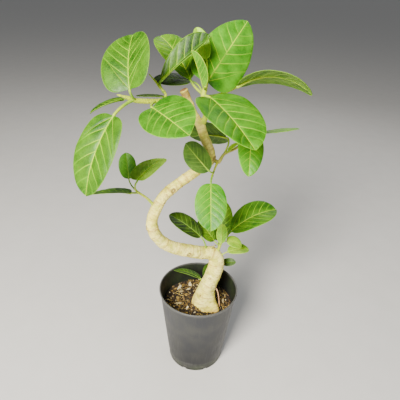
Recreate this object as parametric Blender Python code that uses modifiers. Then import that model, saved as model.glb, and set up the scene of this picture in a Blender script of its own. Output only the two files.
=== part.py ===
"""A potted fig about 0.64 m tall: a nursery pot, its soil, a trunk trained in an open bend, short twigs, and leaves.

The frame is +Z up with the origin at the centre of the pot's underside, and -Y is the plant's front. The trunk is
one tapered limb that leaves the soil near the pot's centre, turns sharply left at the knee, swings round an open
bend and comes back over the pot. Every leaf hangs from a twig by its own stalk.
"""

import math

import bmesh
import bpy
from mathutils import Matrix, Vector

MM = 0.001

# Pot: a long, slightly tapered nursery pot standing on a straight foot
POT_HEIGHT = 172 * MM
RIM_RADIUS = 75 * MM
RIM_DEPTH = 5 * MM
BODY_TOP_RADIUS = 73 * MM
BODY_FOOT_RADIUS = 56.5 * MM
FOOT_RADIUS = 54.5 * MM
FOOT_HEIGHT = 20 * MM
WALL = 1.8 * MM
FLOOR_TOP = 4 * MM
BOSS_RADIUS = 26 * MM
CHANNEL_RADIUS = 50 * MM
CHANNEL_DEPTH = 2 * MM
DRAIN_COUNT = 8
DRAIN_WIDTH = 7 * MM
POT_STEPS = 40

# Soil: it fills the pot to below the rim and rises a little towards the trunk
GAP = 0.4 * MM
SOIL_EDGE = 134 * MM
SOIL_CROWN = 138 * MM

# Limbs
LIMB_STEP = 9 * MM
TWIG_STEP = 5 * MM
LIMB_SIDES_RESOLUTION = 4
TWIG_SIDES_RESOLUTION = 2

# Leaves
STALK_WIDTH = 2.6 * MM
STALK_ROWS = 3
BLADE_ROWS = 9
SMALL_BLADE_ROWS = 6
SMALL_LEAF = 50 * MM
LEAF_COLUMNS = 4
BLADE_SHARE = 0.34  # the blade's thickness as a share of the stalk's
BLADE_CURL = 0.25
LOBE_REACH = 0.35  # how far along the blade the swept-back base reaches

# Each limb: the limb it grows from, and its points as (x, y, z, diameter) in mm
TRUNK = (
    (16, -10, 98, 38), (16, -10, 122, 45), (15, -10, 136, 43), (13, -9, 153, 37.5), (15, -6, 172, 33),
    (21, -3, 191, 30), (28, 2, 210, 29.5), (31, 6, 226, 28.5), (29, 9, 238, 27), (22, 9, 246, 25.5),
    (12, 6, 250, 24.5), (0, 1, 253, 23.8), (-21, -10, 264, 22.6), (-48, -22, 279, 21.5), (-66, -29, 295, 20.3),
    (-78, -34, 317, 19.4), (-81, -35, 339, 18.6), (-75, -32, 360, 18), (-66, -26, 376, 17.6),
    (-54, -18, 388, 17), (-41, -10, 397, 16.8), (-17, 4, 411, 16.8), (0, 12, 422, 17), (8, 14, 434, 16.5),
    (6, 13, 450, 15.3), (0, 11, 464, 14.9), (-5, 9, 477, 14.5), (-10, 6.5, 491, 13.8), (-19, 4.5, 506, 11.6),
    (-28, 2, 527, 11), (-35.5, 0, 543, 11.8),
)
TWIGS = {
    "left_branch": ("trunk", (
        (-27, 2, 526, 7.6), (-41, -6, 530, 7), (-61, -18, 532, 6.8), (-81, -31, 534, 6.4), (-98, -45, 538, 6),
        (-107, -52, 543, 5), (-114, -56, 546, 2.4),
    )),
    "top_twig": ("left_branch", (
        (-61, -17, 532, 3.6), (-61, -16, 542, 3.6), (-69, -14, 550, 3.2), (-74, -12, 556, 2.8), (-82, -10, 564, 1.6),
    )),
    "top_shoot": ("trunk", (
        (-8, 6.5, 492, 9), (-3, 4.5, 502, 8.2), (-2, 3.5, 513, 7.2), (-5.5, 2.3, 525, 6.8), (-7, 1, 537, 6.4),
        (-5, 1, 547, 6), (-4, 3, 556, 5), (-6, 5, 564, 2.4),
    )),
    "right_twig": ("trunk", (
        (10, 13, 431, 7), (23, 12, 429, 6), (31, 14, 442, 4.4), (49, 14, 453, 3.8), (64, 12, 471, 2.6),
    )),
    "lower_twig": ("right_twig", (
        (21, 12, 429, 3.6), (17, 4, 421, 3.2), (15, -1, 416, 3), (13, -6, 412, 2.4),
    )),
    "left_twig": ("trunk", (
        (-75, -32, 364, 4.2), (-89, -28, 377, 3.8), (-103, -23, 384, 3.6), (-107, -22, 387, 2.6),
    )),
    "knee_shoot": ("trunk", (
        (28, 9, 240, 5), (35, 10, 262, 4.4), (38, 12, 273, 4), (39, 14, 283, 2.4),
    )),
    "base_shoot": ("trunk", (
        (16, -2, 173, 3.6), (10, 18, 170, 3), (5, 24, 168, 2),
    )),
    "aerial_root": ("trunk", (
        (22, -3, 186, 3), (35, -8, 174, 2.2), (40, -11, 155, 1.8), (42, -13, 136, 1.8), (42, -13, 122, 1.6),
    )),
    "dead_twig": ("trunk", (
        (20, 7, 244, 2.4), (22, 4, 264, 2), (28, 0, 272, 1.4),
    )),
}

# Each leaf: its name, the limb it grows on, how far along that limb its stalk leaves (0 to 1),
# the stalk's (heading, pitch) in degrees and length in mm, the blade's (heading, pitch, roll) in degrees,
# the blade's (length, width) in mm, its droop and fold in degrees, where it is widest, and its basal lobes
LEAVES = (
    ("leaf_top_left", "left_branch", 0.812, (-118, 57, 20), (108, 57, 38), (88, 77), 34, 20, 0.42, 0.16),
    ("leaf_hanging_left", "left_branch", 0.843, (-128, -23, 38), (-126, -41, 5), (113, 66), 40, 11, 0.45, 0.13),
    ("leaf_front_left", "left_branch", 0.508, (-92, -2, 29), (-58, 0, -29), (94, 69), 12, 20, 0.48, 0.10),
    ("leaf_crown_back", "top_shoot", 0.652, (126, 22, 39), (134, 50, 18), (103, 51), 43, 34, 0.55, 0.00),
    ("leaf_crown_folded", "top_twig", 0.28, (120, 50, 19), (15, 43, -28), (92, 44), 9, 45, 0.62, 0.03),
    ("leaf_crown_right", "top_shoot", 0.886, (80, -10, 9), (56, 36, -38), (123, 86), -7, -11, 0.40, 0.08),
    ("leaf_unfurling", "top_shoot", 0.787, (-97, 17, 21), (180, 72, -20), (50, 26), 8, 52, 0.50, 0.00),
    ("leaf_crown_far", "top_shoot", 1.00, (88, 35, 32), (138, 64, 30), (48, 24), 15, 30, 0.50, 0.05),
    ("leaf_far_right", "top_shoot", 0.606, (36, 8, 64), (8, 35, 32), (122, 78), 82, 5, 0.50, 0.06),
    ("leaf_front_right", "top_shoot", 0.631, (-47, 0, 15), (-58, -9, -1), (118, 85), 21, 18, 0.42, 0.06),
    ("leaf_right_edge", "right_twig", 0.91, (39, 14, 29), (1, 14, 11), (67, 31), 9, 7, 0.50, 0.06),
    ("leaf_right_hanging", "right_twig", 1.00, (-76, 50, 19), (-90, -32, 7), (72, 40), 26, 15, 0.40, 0.06),
    ("leaf_right_bud", "right_twig", 0.45, (-60, 40, 6), (-16, 47, -30), (22, 12), 5, 40, 0.50, 0.00),
    ("leaf_behind_trunk", "right_twig", 0.39, (81, 45, 30), (136, -4, -55), (73, 56), 29, 16, 0.50, 0.00),
    ("leaf_elbow", "lower_twig", 0.72, (-119, 27, 18), (152, 37, -92), (57, 46), -6, 1, 0.50, 0.04),
    ("leaf_inner_hanging", "lower_twig", 1.00, (-98, -26, 16), (-88, -32, -4), (77, 50), 21, 11, 0.47, 0.04),
    ("leaf_left_twig_up", "left_twig", 1.00, (134, 34, 24), (114, 74, 13), (42, 28), 20, 11, 0.50, 0.09),
    ("leaf_left_twig_cupped", "left_twig", 1.00, (-70, 55, 34), (62, 22, -167), (67, 49), -21, -2, 0.42, 0.15),
    ("leaf_left_twig_flat", "left_twig", 0.88, (150, -18, 17), (165, -2, -14), (83, 45), 24, 12, 0.50, 0.06),
    ("leaf_left_back", "left_branch", 0.927, (157, -24, 7), (-167, -9, -5), (49, 29), 27, 17, 0.50, 0.06),
    ("leaf_branch_back", "left_branch", 0.341, (111, 6, 17), (176, 5, -3), (42, 19), 15, 7, 0.50, 0.06),
    ("leaf_crown_shade", "top_shoot", 0.569, (121, 23, 43), (177, 10, 16), (58, 39), 21, 3, 0.50, 0.06),
    ("leaf_arm", "trunk", 0.29, (-176, 71, 37), (163, 39, 14), (69, 39), 27, 16, 0.50, 0.06),
    ("leaf_knee_large", "knee_shoot", 0.94, (43, 8, 24), (8, 51, -12), (93, 65), 51, 16, 0.55, 0.08),
    ("leaf_knee_back", "knee_shoot", 0.55, (137, 14, 15), (149, 48, 10), (47, 36), 17, 10, 0.50, 0.09),
    ("leaf_knee_upright", "trunk", 0.24, (82, 23, 43), (85, 58, -11), (82, 48), 23, 11, 0.50, 0.10),
    ("leaf_knee_young_up", "knee_shoot", 0.95, (-97, 7, 24), (88, 53, 176), (34, 19), 23, 11, 0.50, 0.10),
    ("leaf_knee_young_side", "knee_shoot", 0.56, (-32, 50, 20), (6, -6, -17), (31, 27), 31, 13, 0.50, 0.14),
    ("leaf_knee_low", "trunk", 0.24, (8, 42, 28), (14, 14, -9), (42, 27), 32, 20, 0.50, 0.06),
    ("leaf_knee_back_low", "trunk", 0.22, (63, -21, 30), (-22, 23, -48), (28, 16), 23, 13, 0.50, 0.06),
    ("leaf_base_long", "base_shoot", 0.98, (-118, 61, 9), (151, 13, -15), (60, 23), 33, 16, 0.50, 0.06),
    ("leaf_base_short", "base_shoot", 0.35, (80, 40, 12), (83, 38, 25), (35, 22), 24, 11, 0.50, 0.06),
)
YOUNG_LEAVES = ("leaf_unfurling", "leaf_knee_young_up", "leaf_knee_young_side", "leaf_knee_low", "leaf_right_bud")
SHADED_LEAVES = (
    "leaf_crown_shade", "leaf_behind_trunk", "leaf_elbow", "leaf_arm", "leaf_left_twig_up", "leaf_left_twig_flat",
    "leaf_knee_back_low", "leaf_base_long", "leaf_base_short",
)


def cleared_scene():
    for obj in list(bpy.data.objects):
        bpy.data.objects.remove(obj, do_unlink=True)
    parts = bpy.data.collections.new("potted_fig")
    cutters = bpy.data.collections.new("cutters")
    for collection in (parts, cutters):
        bpy.context.scene.collection.children.link(collection)
    return parts, cutters


def finish(name, colour, roughness):
    """A plain material of one colour, given as linear red, green and blue."""
    material = bpy.data.materials.new(name)
    material.use_nodes = True
    shader = material.node_tree.nodes["Principled BSDF"]
    shader.inputs["Base Color"].default_value = (*colour, 1)
    shader.inputs["Roughness"].default_value = roughness
    return material


def added(name, mesh, collection, material=None, smooth=True):
    obj = bpy.data.objects.new(name, mesh)
    collection.objects.link(obj)
    if material:
        mesh.materials.append(material)
    if smooth:
        mesh.shade_smooth()
    return obj


def turned(name, profile, collection, material):
    """The profile, as (radius, height) pairs that run down the outer side, turned about Z."""
    mesh = bpy.data.meshes.new(name)
    shape = bmesh.new()
    points = [shape.verts.new((radius, 0, height)) for radius, height in profile]
    for start, end in zip(points, points[1:]):
        shape.edges.new((start, end))
    shape.to_mesh(mesh)
    shape.free()
    obj = added(name, mesh, collection, material, smooth=False)
    screw = obj.modifiers.new("turn", "SCREW")
    screw.steps = screw.render_steps = POT_STEPS
    screw.use_merge_vertices = True
    screw.merge_threshold = 0.0001
    return obj


def cut(obj, cutter):
    boolean = obj.modifiers.new("cut " + cutter.name, "BOOLEAN")
    boolean.operation = "DIFFERENCE"
    boolean.object = cutter


def as_cutter(obj):
    obj.hide_render = True
    obj.display_type = "WIRE"
    return obj


def wall_radius(height):
    """The outer radius of the pot's tapered body at a height."""
    share = (height - FOOT_HEIGHT) / (POT_HEIGHT - RIM_DEPTH - FOOT_HEIGHT)
    return BODY_FOOT_RADIUS + share * (BODY_TOP_RADIUS - BODY_FOOT_RADIUS)


def make_pot(parts, cutters, material):
    lip = 1.2 * MM
    profile = [
        (0, FLOOR_TOP),
        (FOOT_RADIUS - WALL, FLOOR_TOP),
        (FOOT_RADIUS - WALL, FOOT_HEIGHT),
        (wall_radius(FOOT_HEIGHT + 2 * MM) - WALL, FOOT_HEIGHT + 2 * MM),
        (BODY_TOP_RADIUS - WALL, POT_HEIGHT - RIM_DEPTH),
        (RIM_RADIUS - WALL - lip, POT_HEIGHT - lip),
        (RIM_RADIUS - WALL, POT_HEIGHT),
        (RIM_RADIUS - lip, POT_HEIGHT),
        (RIM_RADIUS, POT_HEIGHT - lip),
        (RIM_RADIUS, POT_HEIGHT - RIM_DEPTH + lip),
        (RIM_RADIUS - lip, POT_HEIGHT - RIM_DEPTH),
        (BODY_TOP_RADIUS, POT_HEIGHT - RIM_DEPTH),
        (BODY_FOOT_RADIUS, FOOT_HEIGHT + 1 * MM),
        (FOOT_RADIUS, FOOT_HEIGHT),
        (FOOT_RADIUS, 0),
        (CHANNEL_RADIUS, 0),
        (CHANNEL_RADIUS - 1 * MM, CHANNEL_DEPTH),
        (BOSS_RADIUS + 1 * MM, CHANNEL_DEPTH),
        (BOSS_RADIUS, 0),
        (0, 0),
    ]
    pot = turned("pot", profile, parts, material)
    # One hole through the channel and one notch through the foot make each drain
    for name, inner, outer, top in (("drain_holes", 36, 47, 8), ("drain_notches", 44, 60, 3)):
        inner, outer, top = inner * MM, outer * MM, top * MM
        bpy.ops.object.select_all(action="DESELECT")
        shape = bmesh.new()
        for index in range(DRAIN_COUNT):
            made = bmesh.ops.create_cube(shape, size=1)["verts"]
            bmesh.ops.scale(shape, verts=made, vec=(outer - inner, DRAIN_WIDTH, top + 5 * MM))
            bmesh.ops.translate(shape, verts=made, vec=((inner + outer) / 2, 0, (top - 5 * MM) / 2))
            turn = (index + 0.5) * math.tau / DRAIN_COUNT
            bmesh.ops.rotate(shape, verts=made, cent=(0, 0, 0), matrix=Matrix.Rotation(turn, 3, "Z"))
        mesh = bpy.data.meshes.new(name)
        shape.to_mesh(mesh)
        shape.free()
        cut(pot, as_cutter(added(name, mesh, cutters, smooth=False)))
    return pot


def make_soil(parts, material):
    bottom = FLOOR_TOP + GAP
    step = FOOT_HEIGHT + 6 * MM
    return turned("soil", [
        (0, SOIL_CROWN),
        (30 * MM, SOIL_CROWN - 0.5 * MM),
        (wall_radius(SOIL_EDGE) - WALL - GAP, SOIL_EDGE),
        (wall_radius(step) - WALL - GAP, step),
        (FOOT_RADIUS - WALL - GAP, FOOT_HEIGHT + 1 * MM),
        (FOOT_RADIUS - WALL - GAP, bottom),
        (0, bottom),
    ], parts, material)


def smooth_route(points, step):
    """Points a step apart on the smooth curve through the given ones, each with its radius, in metres."""
    knots = [Vector(point) * MM for point in points]
    knots = [2 * knots[0] - knots[1], *knots, 2 * knots[-1] - knots[-2]]
    route = []
    for a, b, c, d in zip(knots, knots[1:], knots[2:], knots[3:]):
        count = max(1, round((c - b).xyz.length / step))
        for index in range(count):
            t = index / count
            route.append(
                (2 * b + (c - a) * t + (2 * a - 5 * b + 4 * c - d) * t**2 + (3 * b - a - 3 * c + d) * t**3) / 2
            )
    route.append(knots[-2])
    return [(point.xyz, point.w / 2) for point in route]


def limb(name, points, step, resolution, collection, material=None):
    """A closed round limb along the points, each of them (x, y, z, diameter) in mm."""
    route = smooth_route(points, step)
    curve = bpy.data.curves.new(name, "CURVE")
    curve.dimensions = "3D"
    curve.bevel_depth = 1.0
    curve.bevel_resolution = resolution
    curve.use_fill_caps = True
    spline = curve.splines.new("POLY")
    spline.points.add(len(route) - 1)
    for point, (place, radius) in zip(spline.points, route):
        point.co = (*place, 1)
        point.radius = radius
    guide = bpy.data.objects.new(name + "_guide", curve)
    collection.objects.link(guide)
    bpy.context.view_layer.update()
    mesh = bpy.data.meshes.new_from_object(guide.evaluated_get(bpy.context.evaluated_depsgraph_get()))
    bpy.data.objects.remove(guide)
    shape = bmesh.new()
    shape.from_mesh(mesh)
    bmesh.ops.remove_doubles(shape, verts=shape.verts, dist=1e-6)
    shape.to_mesh(mesh)
    shape.free()
    mesh.name = name
    return added(name, mesh, collection, material)


def grown_copy(obj, cutters):
    """The object a gap larger all over, to cut from what touches it."""
    copy = obj.copy()
    copy.data = obj.data.copy()
    copy.name = obj.name + "_grown"
    cutters.objects.link(copy)
    grow = copy.modifiers.new("grow", "DISPLACE")
    grow.mid_level = 0
    grow.strength = GAP
    return as_cutter(copy)


def heading_vector(heading, pitch):
    heading, pitch = math.radians(heading), math.radians(pitch)
    flat = math.cos(pitch)
    return Vector((flat * math.cos(heading), flat * math.sin(heading), math.sin(pitch)))


def point_along(route, share):
    """The place at a share of the route's length."""
    places = [place for place, _ in route]
    lengths = [(b - a).length for a, b in zip(places, places[1:])]
    left = share * sum(lengths)
    for start, end, length in zip(places, places[1:], lengths):
        if left <= length:
            return start.lerp(end, left / length)
        left -= length
    return places[-1]


def clearance(place, routes):
    """How far the place is outside the nearest limb."""
    nearest = math.inf
    for route in routes:
        for (start, wide), (end, narrow) in zip(route, route[1:]):
            along = end - start
            share = min(1, max(0, (place - start).dot(along) / along.length_squared))
            nearest = min(nearest, (place - start - share * along).length - (wide + share * (narrow - wide)))
    return nearest


def outline(share, widest):
    """The blade's half width, as a share of its greatest, at a share of its length."""
    bent = share ** (math.log(0.5) / math.log(widest))
    return math.sqrt(max(0, 1 - (2 * bent - 1) ** 2))


class Blade:
    """The surface of one leaf blade: along its length it droops in an arc, across it folds up and curls back."""

    def __init__(self, base, aim, size, droop, fold, widest, lobe):
        heading, pitch, roll = aim
        self.base = base
        self.length, self.width = size[0] * MM, size[1] * MM
        self.droop, self.fold = math.radians(droop), math.radians(fold)
        self.widest, self.lobe = widest, lobe
        self.forward = heading_vector(heading, pitch)
        side = Vector((math.sin(math.radians(heading)), -math.cos(math.radians(heading)), 0))
        normal = side.cross(self.forward)
        turn = math.radians(roll)
        self.side = math.cos(turn) * side + math.sin(turn) * normal
        self.normal = math.cos(turn) * normal - math.sin(turn) * side

    def at(self, share, across):
        """The point at a share of the length and, from -1 to 1, across the width."""
        reach = max(abs(across) * self.width / 2 * outline(share, self.widest), abs(across) * STALK_WIDTH / 2)
        lift = self.fold - BLADE_CURL * reach / self.width
        swept = self.lobe * self.width * abs(across) ** 1.5 * max(0, 1 - share / LOBE_REACH)
        if share == 0:
            swept = 0
        turn = self.droop * (share - swept / self.length)
        along = self.length * math.sin(turn) / self.droop
        down = self.length * (1 - math.cos(turn)) / self.droop
        normal = math.cos(turn) * self.normal + math.sin(turn) * self.forward
        outward = math.copysign(reach * math.cos(lift), across) * self.side
        return self.base + along * self.forward - down * self.normal + outward + reach * math.sin(lift) * normal


def make_leaf(spec, routes, parts, material):
    name, limb_name, share, stalk, aim, size, droop, fold, widest, lobe = spec
    root = point_along(routes[limb_name], share)
    base = root + heading_vector(stalk[0], stalk[1]) * stalk[2] * MM
    blade = Blade(base, aim, size, droop, fold, widest, lobe)
    # The stalk is an arc from the limb that arrives in line with the blade
    control = base - blade.forward * stalk[2] * MM * 0.4
    start = 0
    while start < 0.9:
        place = root.lerp(control, start).lerp(control.lerp(base, start), start)
        if clearance(place, routes.values()) > STALK_WIDTH * 0.72 + GAP:
            break
        start += 0.02
    rows = SMALL_BLADE_ROWS if size[0] * MM < SMALL_LEAF else BLADE_ROWS
    arcs = [start + (1 - start) * row / STALK_ROWS for row in range(STALK_ROWS)]
    centres = [root.lerp(control, t).lerp(control.lerp(base, t), t) for t in arcs] + [base]
    side = blade.side.copy()
    sides = []
    way = blade.forward
    for before, after in zip(reversed(centres[:-1]), reversed(centres[1:])):
        new_way = (after - before).normalized()
        side.rotate(way.rotation_difference(new_way))
        way = new_way
        sides.insert(0, side.copy())

    mesh = bpy.data.meshes.new(name)
    shape = bmesh.new()
    total = STALK_ROWS + rows
    bmesh.ops.create_grid(shape, x_segments=LEAF_COLUMNS, y_segments=total, size=1)
    thick = shape.verts.layers.deform.verify()
    for vert in shape.verts:
        across = round((vert.co.x + 1) / 2 * LEAF_COLUMNS) / LEAF_COLUMNS * 2 - 1
        row = round((vert.co.y + 1) / 2 * total)
        if row < STALK_ROWS:
            vert.co = centres[row] + sides[row] * across * STALK_WIDTH / 2
            vert[thick][0] = 1
        else:
            share_along = (1 - math.cos(math.pi * (row - STALK_ROWS) / rows)) / 2
            vert.co = blade.at(share_along, across)
            vert[thick][0] = 0.6 if row == STALK_ROWS else BLADE_SHARE
    shape.to_mesh(mesh)
    shape.free()
    leaf = added(name, mesh, parts, material)
    leaf.vertex_groups.new(name="thickness")
    solid = leaf.modifiers.new("thickness", "SOLIDIFY")
    solid.thickness = STALK_WIDTH
    solid.offset = 0
    solid.vertex_group = "thickness"
    return leaf


def main():
    parts, cutters = cleared_scene()
    plastic = finish("black_plastic", (0.03, 0.03, 0.032), 0.45)
    earth = finish("potting_mix", (0.16, 0.10, 0.05), 0.95)
    bark = finish("pale_bark", (0.62, 0.56, 0.38), 0.75)
    green_stem = finish("green_stem", (0.42, 0.50, 0.12), 0.5)
    leaf_green = finish("leaf_green", (0.12, 0.30, 0.05), 0.4)
    leaf_young = finish("leaf_young", (0.40, 0.60, 0.08), 0.4)
    leaf_shaded = finish("leaf_shaded", (0.04, 0.11, 0.03), 0.35)

    make_pot(parts, cutters, plastic)
    soil = make_soil(parts, earth)

    trunk = limb("trunk", TRUNK, LIMB_STEP, LIMB_SIDES_RESOLUTION, parts, bark)
    grown = {"trunk": grown_copy(trunk, cutters)}
    cut(soil, grown["trunk"])

    routes = {"trunk": smooth_route(TRUNK, LIMB_STEP)}
    for name, (parent, points) in TWIGS.items():
        bark_or_green = bark if name in ("aerial_root", "dead_twig", "right_twig") else green_stem
        twig = limb(name, points, TWIG_STEP, TWIG_SIDES_RESOLUTION, parts, bark_or_green)
        cut(twig, grown[parent])
        grown[name] = grown_copy(twig, cutters)
        grown[name].modifiers.clear()
        grow = grown[name].modifiers.new("grow", "DISPLACE")
        grow.mid_level = 0
        grow.strength = GAP
        routes[name] = smooth_route(points, TWIG_STEP)
    cut(soil, grown["aerial_root"])

    for spec in LEAVES:
        material = leaf_young if spec[0] in YOUNG_LEAVES else leaf_shaded if spec[0] in SHADED_LEAVES else leaf_green
        make_leaf(spec, routes, parts, material)


main()
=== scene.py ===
"""A young fig with a bent trunk in a round nursery pot: its looks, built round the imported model."""
import bmesh
import bpy
import math
import random
from mathutils import Euler, Matrix, Vector, noise


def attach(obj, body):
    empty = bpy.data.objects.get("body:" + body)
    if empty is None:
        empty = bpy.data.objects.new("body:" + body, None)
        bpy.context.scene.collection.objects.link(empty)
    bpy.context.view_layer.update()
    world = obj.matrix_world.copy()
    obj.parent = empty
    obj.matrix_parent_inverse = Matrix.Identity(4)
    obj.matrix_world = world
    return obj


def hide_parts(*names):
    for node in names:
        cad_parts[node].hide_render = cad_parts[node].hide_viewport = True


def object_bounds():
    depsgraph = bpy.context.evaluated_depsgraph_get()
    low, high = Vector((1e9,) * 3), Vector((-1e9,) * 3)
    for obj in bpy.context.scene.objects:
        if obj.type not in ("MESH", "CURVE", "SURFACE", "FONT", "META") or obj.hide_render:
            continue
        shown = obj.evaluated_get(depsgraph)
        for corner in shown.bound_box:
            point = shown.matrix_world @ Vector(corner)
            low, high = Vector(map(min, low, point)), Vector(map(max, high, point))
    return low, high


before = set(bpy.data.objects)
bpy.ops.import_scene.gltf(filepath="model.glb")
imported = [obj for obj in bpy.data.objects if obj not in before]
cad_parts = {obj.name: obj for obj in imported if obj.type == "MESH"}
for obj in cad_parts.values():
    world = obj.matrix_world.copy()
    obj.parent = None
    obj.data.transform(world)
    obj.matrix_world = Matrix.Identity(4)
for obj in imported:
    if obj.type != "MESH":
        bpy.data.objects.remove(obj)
cad_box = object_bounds()
MM = 0.001

# The pot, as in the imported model
POT_HEIGHT = 172 * MM
RIM_RADIUS = 75 * MM
BODY_TOP_RADIUS = 73 * MM
BODY_FOOT_RADIUS = 56.5 * MM
FOOT_RADIUS = 54.5 * MM
FOOT_HEIGHT = 20 * MM
BODY_TOP = 167 * MM
WALL = 1.8 * MM
FLOOR_TOP = 4 * MM
LIP_RADIUS = 1.3 * MM
DRAINS = 8
POT_SIDES = 176

# The soil's surface, the trunk's foot in it and the little heap where it was topped up
SOIL_EDGE = 134 * MM
SOIL_CROWN = 138 * MM
SOIL_GAP = 0.2 * MM  # between the soil and the pot's wall
FOOT_SPOT = (15 * MM, -10 * MM)
HEAP_SPOT = (-3 * MM, -28 * MM)
HEAP_HEIGHT, HEAP_RADIUS = 9 * MM, 11 * MM

# Leaves. What isn't in millimetres or radians is a share of the blade's length
BLADE_THICKNESS = 0.55 * MM
BLADE_CURL = 0.25  # how much of its fold a blade loses towards its edge, in radians
LOBE_REACH = 0.35  # how far up the blade the lobes at its base reach
FIRST_VEIN = 0.17  # where the lowest pair of side veins leaves the midrib
VEIN_STEP = 0.15  # between side veins
VEIN_LAG = 0.014  # half of how far the veins of one half lag behind those of the other
SWEEP, SWEEP_MORE = 0.85, 0.05  # how far a side vein runs on towards the tip, and how much more by the edge
BASE_VEIN, BASE_SWEEP = 0.01, 1.4  # where the sharp pair at the base starts, and how far it runs on
VEIN_MARGIN = 0.05  # how far below the lowest side veins their pattern ends
PUFF = 0.0065  # how far the blade puffs up between its veins
WAVE = 0.009  # how far its edge waves

# Limbs: x, y, z and diameter of each point, in mm
TRUNK = (
    (16, -10, 122, 45), (15, -10, 136, 43), (13, -9, 153, 37.5), (15, -6, 172, 33), (21, -3, 191, 30),
    (28, 2, 210, 29.5), (31, 6, 226, 28.5), (29, 9, 238, 27), (22, 9, 246, 25.5), (12, 6, 250, 24.5),
    (0, 1, 253, 23.8), (-21, -10, 264, 22.6), (-48, -22, 279, 21.5), (-66, -29, 295, 20.3),
    (-78, -34, 317, 19.4), (-81, -35, 339, 18.6), (-75, -32, 360, 18), (-66, -26, 376, 17.6),
    (-54, -18, 388, 17), (-41, -10, 397, 16.8), (-17, 4, 411, 16.8), (0, 12, 422, 17),
    (8, 14, 434, 16.5), (6, 13, 450, 15.3), (0, 11, 464, 14.9), (-5, 9, 477, 14.5),
    (-10, 6.5, 491, 13.8), (-19, 4.5, 506, 11.6), (-28, 2, 527, 11), (-35.5, 0, 543, 11.8),
)
TWIGS = {
    "left_branch": (
        (-27, 2, 526, 8.6), (-41, -6, 530, 7.4), (-61, -18, 532, 7), (-81, -31, 534, 7), (-98, -45, 538, 6.6),
        (-107, -52, 543, 5.4), (-114, -56, 546, 2.8),
    ),
    "top_twig": (
        (-61, -17, 532, 4), (-61, -16, 542, 3.6), (-69, -14, 550, 3.2), (-74, -12, 556, 2.8),
        (-82, -10, 564, 1.6),
    ),
    "top_shoot": (
        (-8, 6.5, 492, 10.5), (-3, 4.5, 502, 8.6), (-2, 3.5, 513, 7.6), (-5.5, 2.3, 525, 7.2),
        (-7, 1, 537, 7.6), (-5, 1, 547, 7), (-4, 3, 556, 5.4), (-6, 5, 564, 2.4),
    ),
    "right_twig": (
        (8, 13, 431, 9), (17, 13, 429.5, 6.6), (23, 12, 429, 6), (31, 14, 442, 4.4), (49, 14, 453, 3.8),
        (64, 12, 471, 2.6),
    ),
    "lower_twig": ((21, 12, 429, 4), (17, 4, 421, 3.2), (15, -1, 416, 3), (13, -6, 412, 2.4)),
    "left_twig": ((-75, -32, 364, 5.4), (-89, -28, 377, 3.8), (-103, -23, 384, 3.6), (-107, -22, 387, 2.6)),
    "knee_shoot": ((28, 9, 240, 6), (35, 10, 262, 4.4), (38, 12, 273, 4), (39, 14, 283, 2.4)),
    "base_shoot": ((16, -2, 173, 4), (10, 18, 170, 3), (5, 24, 168, 2)),
    "aerial_root": (
        (22, -3, 186, 3.6), (35, -8, 174, 2.2), (40, -11, 155, 1.9), (42, -13, 136, 2), (42, -13, 124, 2.4),
    ),
    "dead_twig": ((20, 7, 244, 3), (22, 4, 264, 2), (28, 0, 272, 1.4)),
}

# The greens of the blades, from the darkest to the one that has only just opened. The darkest, pitch, bottle,
# deep and forest, are painted shade on leaves that lie in shadow, and sunlit is painted light on a lit leaf
GREENS = {
    "pitch": "#0c1a04", "bottle": "#142804", "deep": "#204004", "forest": "#305406", "leaf": "#386606",
    "grass": "#387806", "fresh": "#48900a", "olive": "#486408", "moss": "#4e5c12", "sunlit": "#56800a",
    "lime": "#6a9410", "spring": "#94b412", "bud": "#bce218",
}

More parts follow.
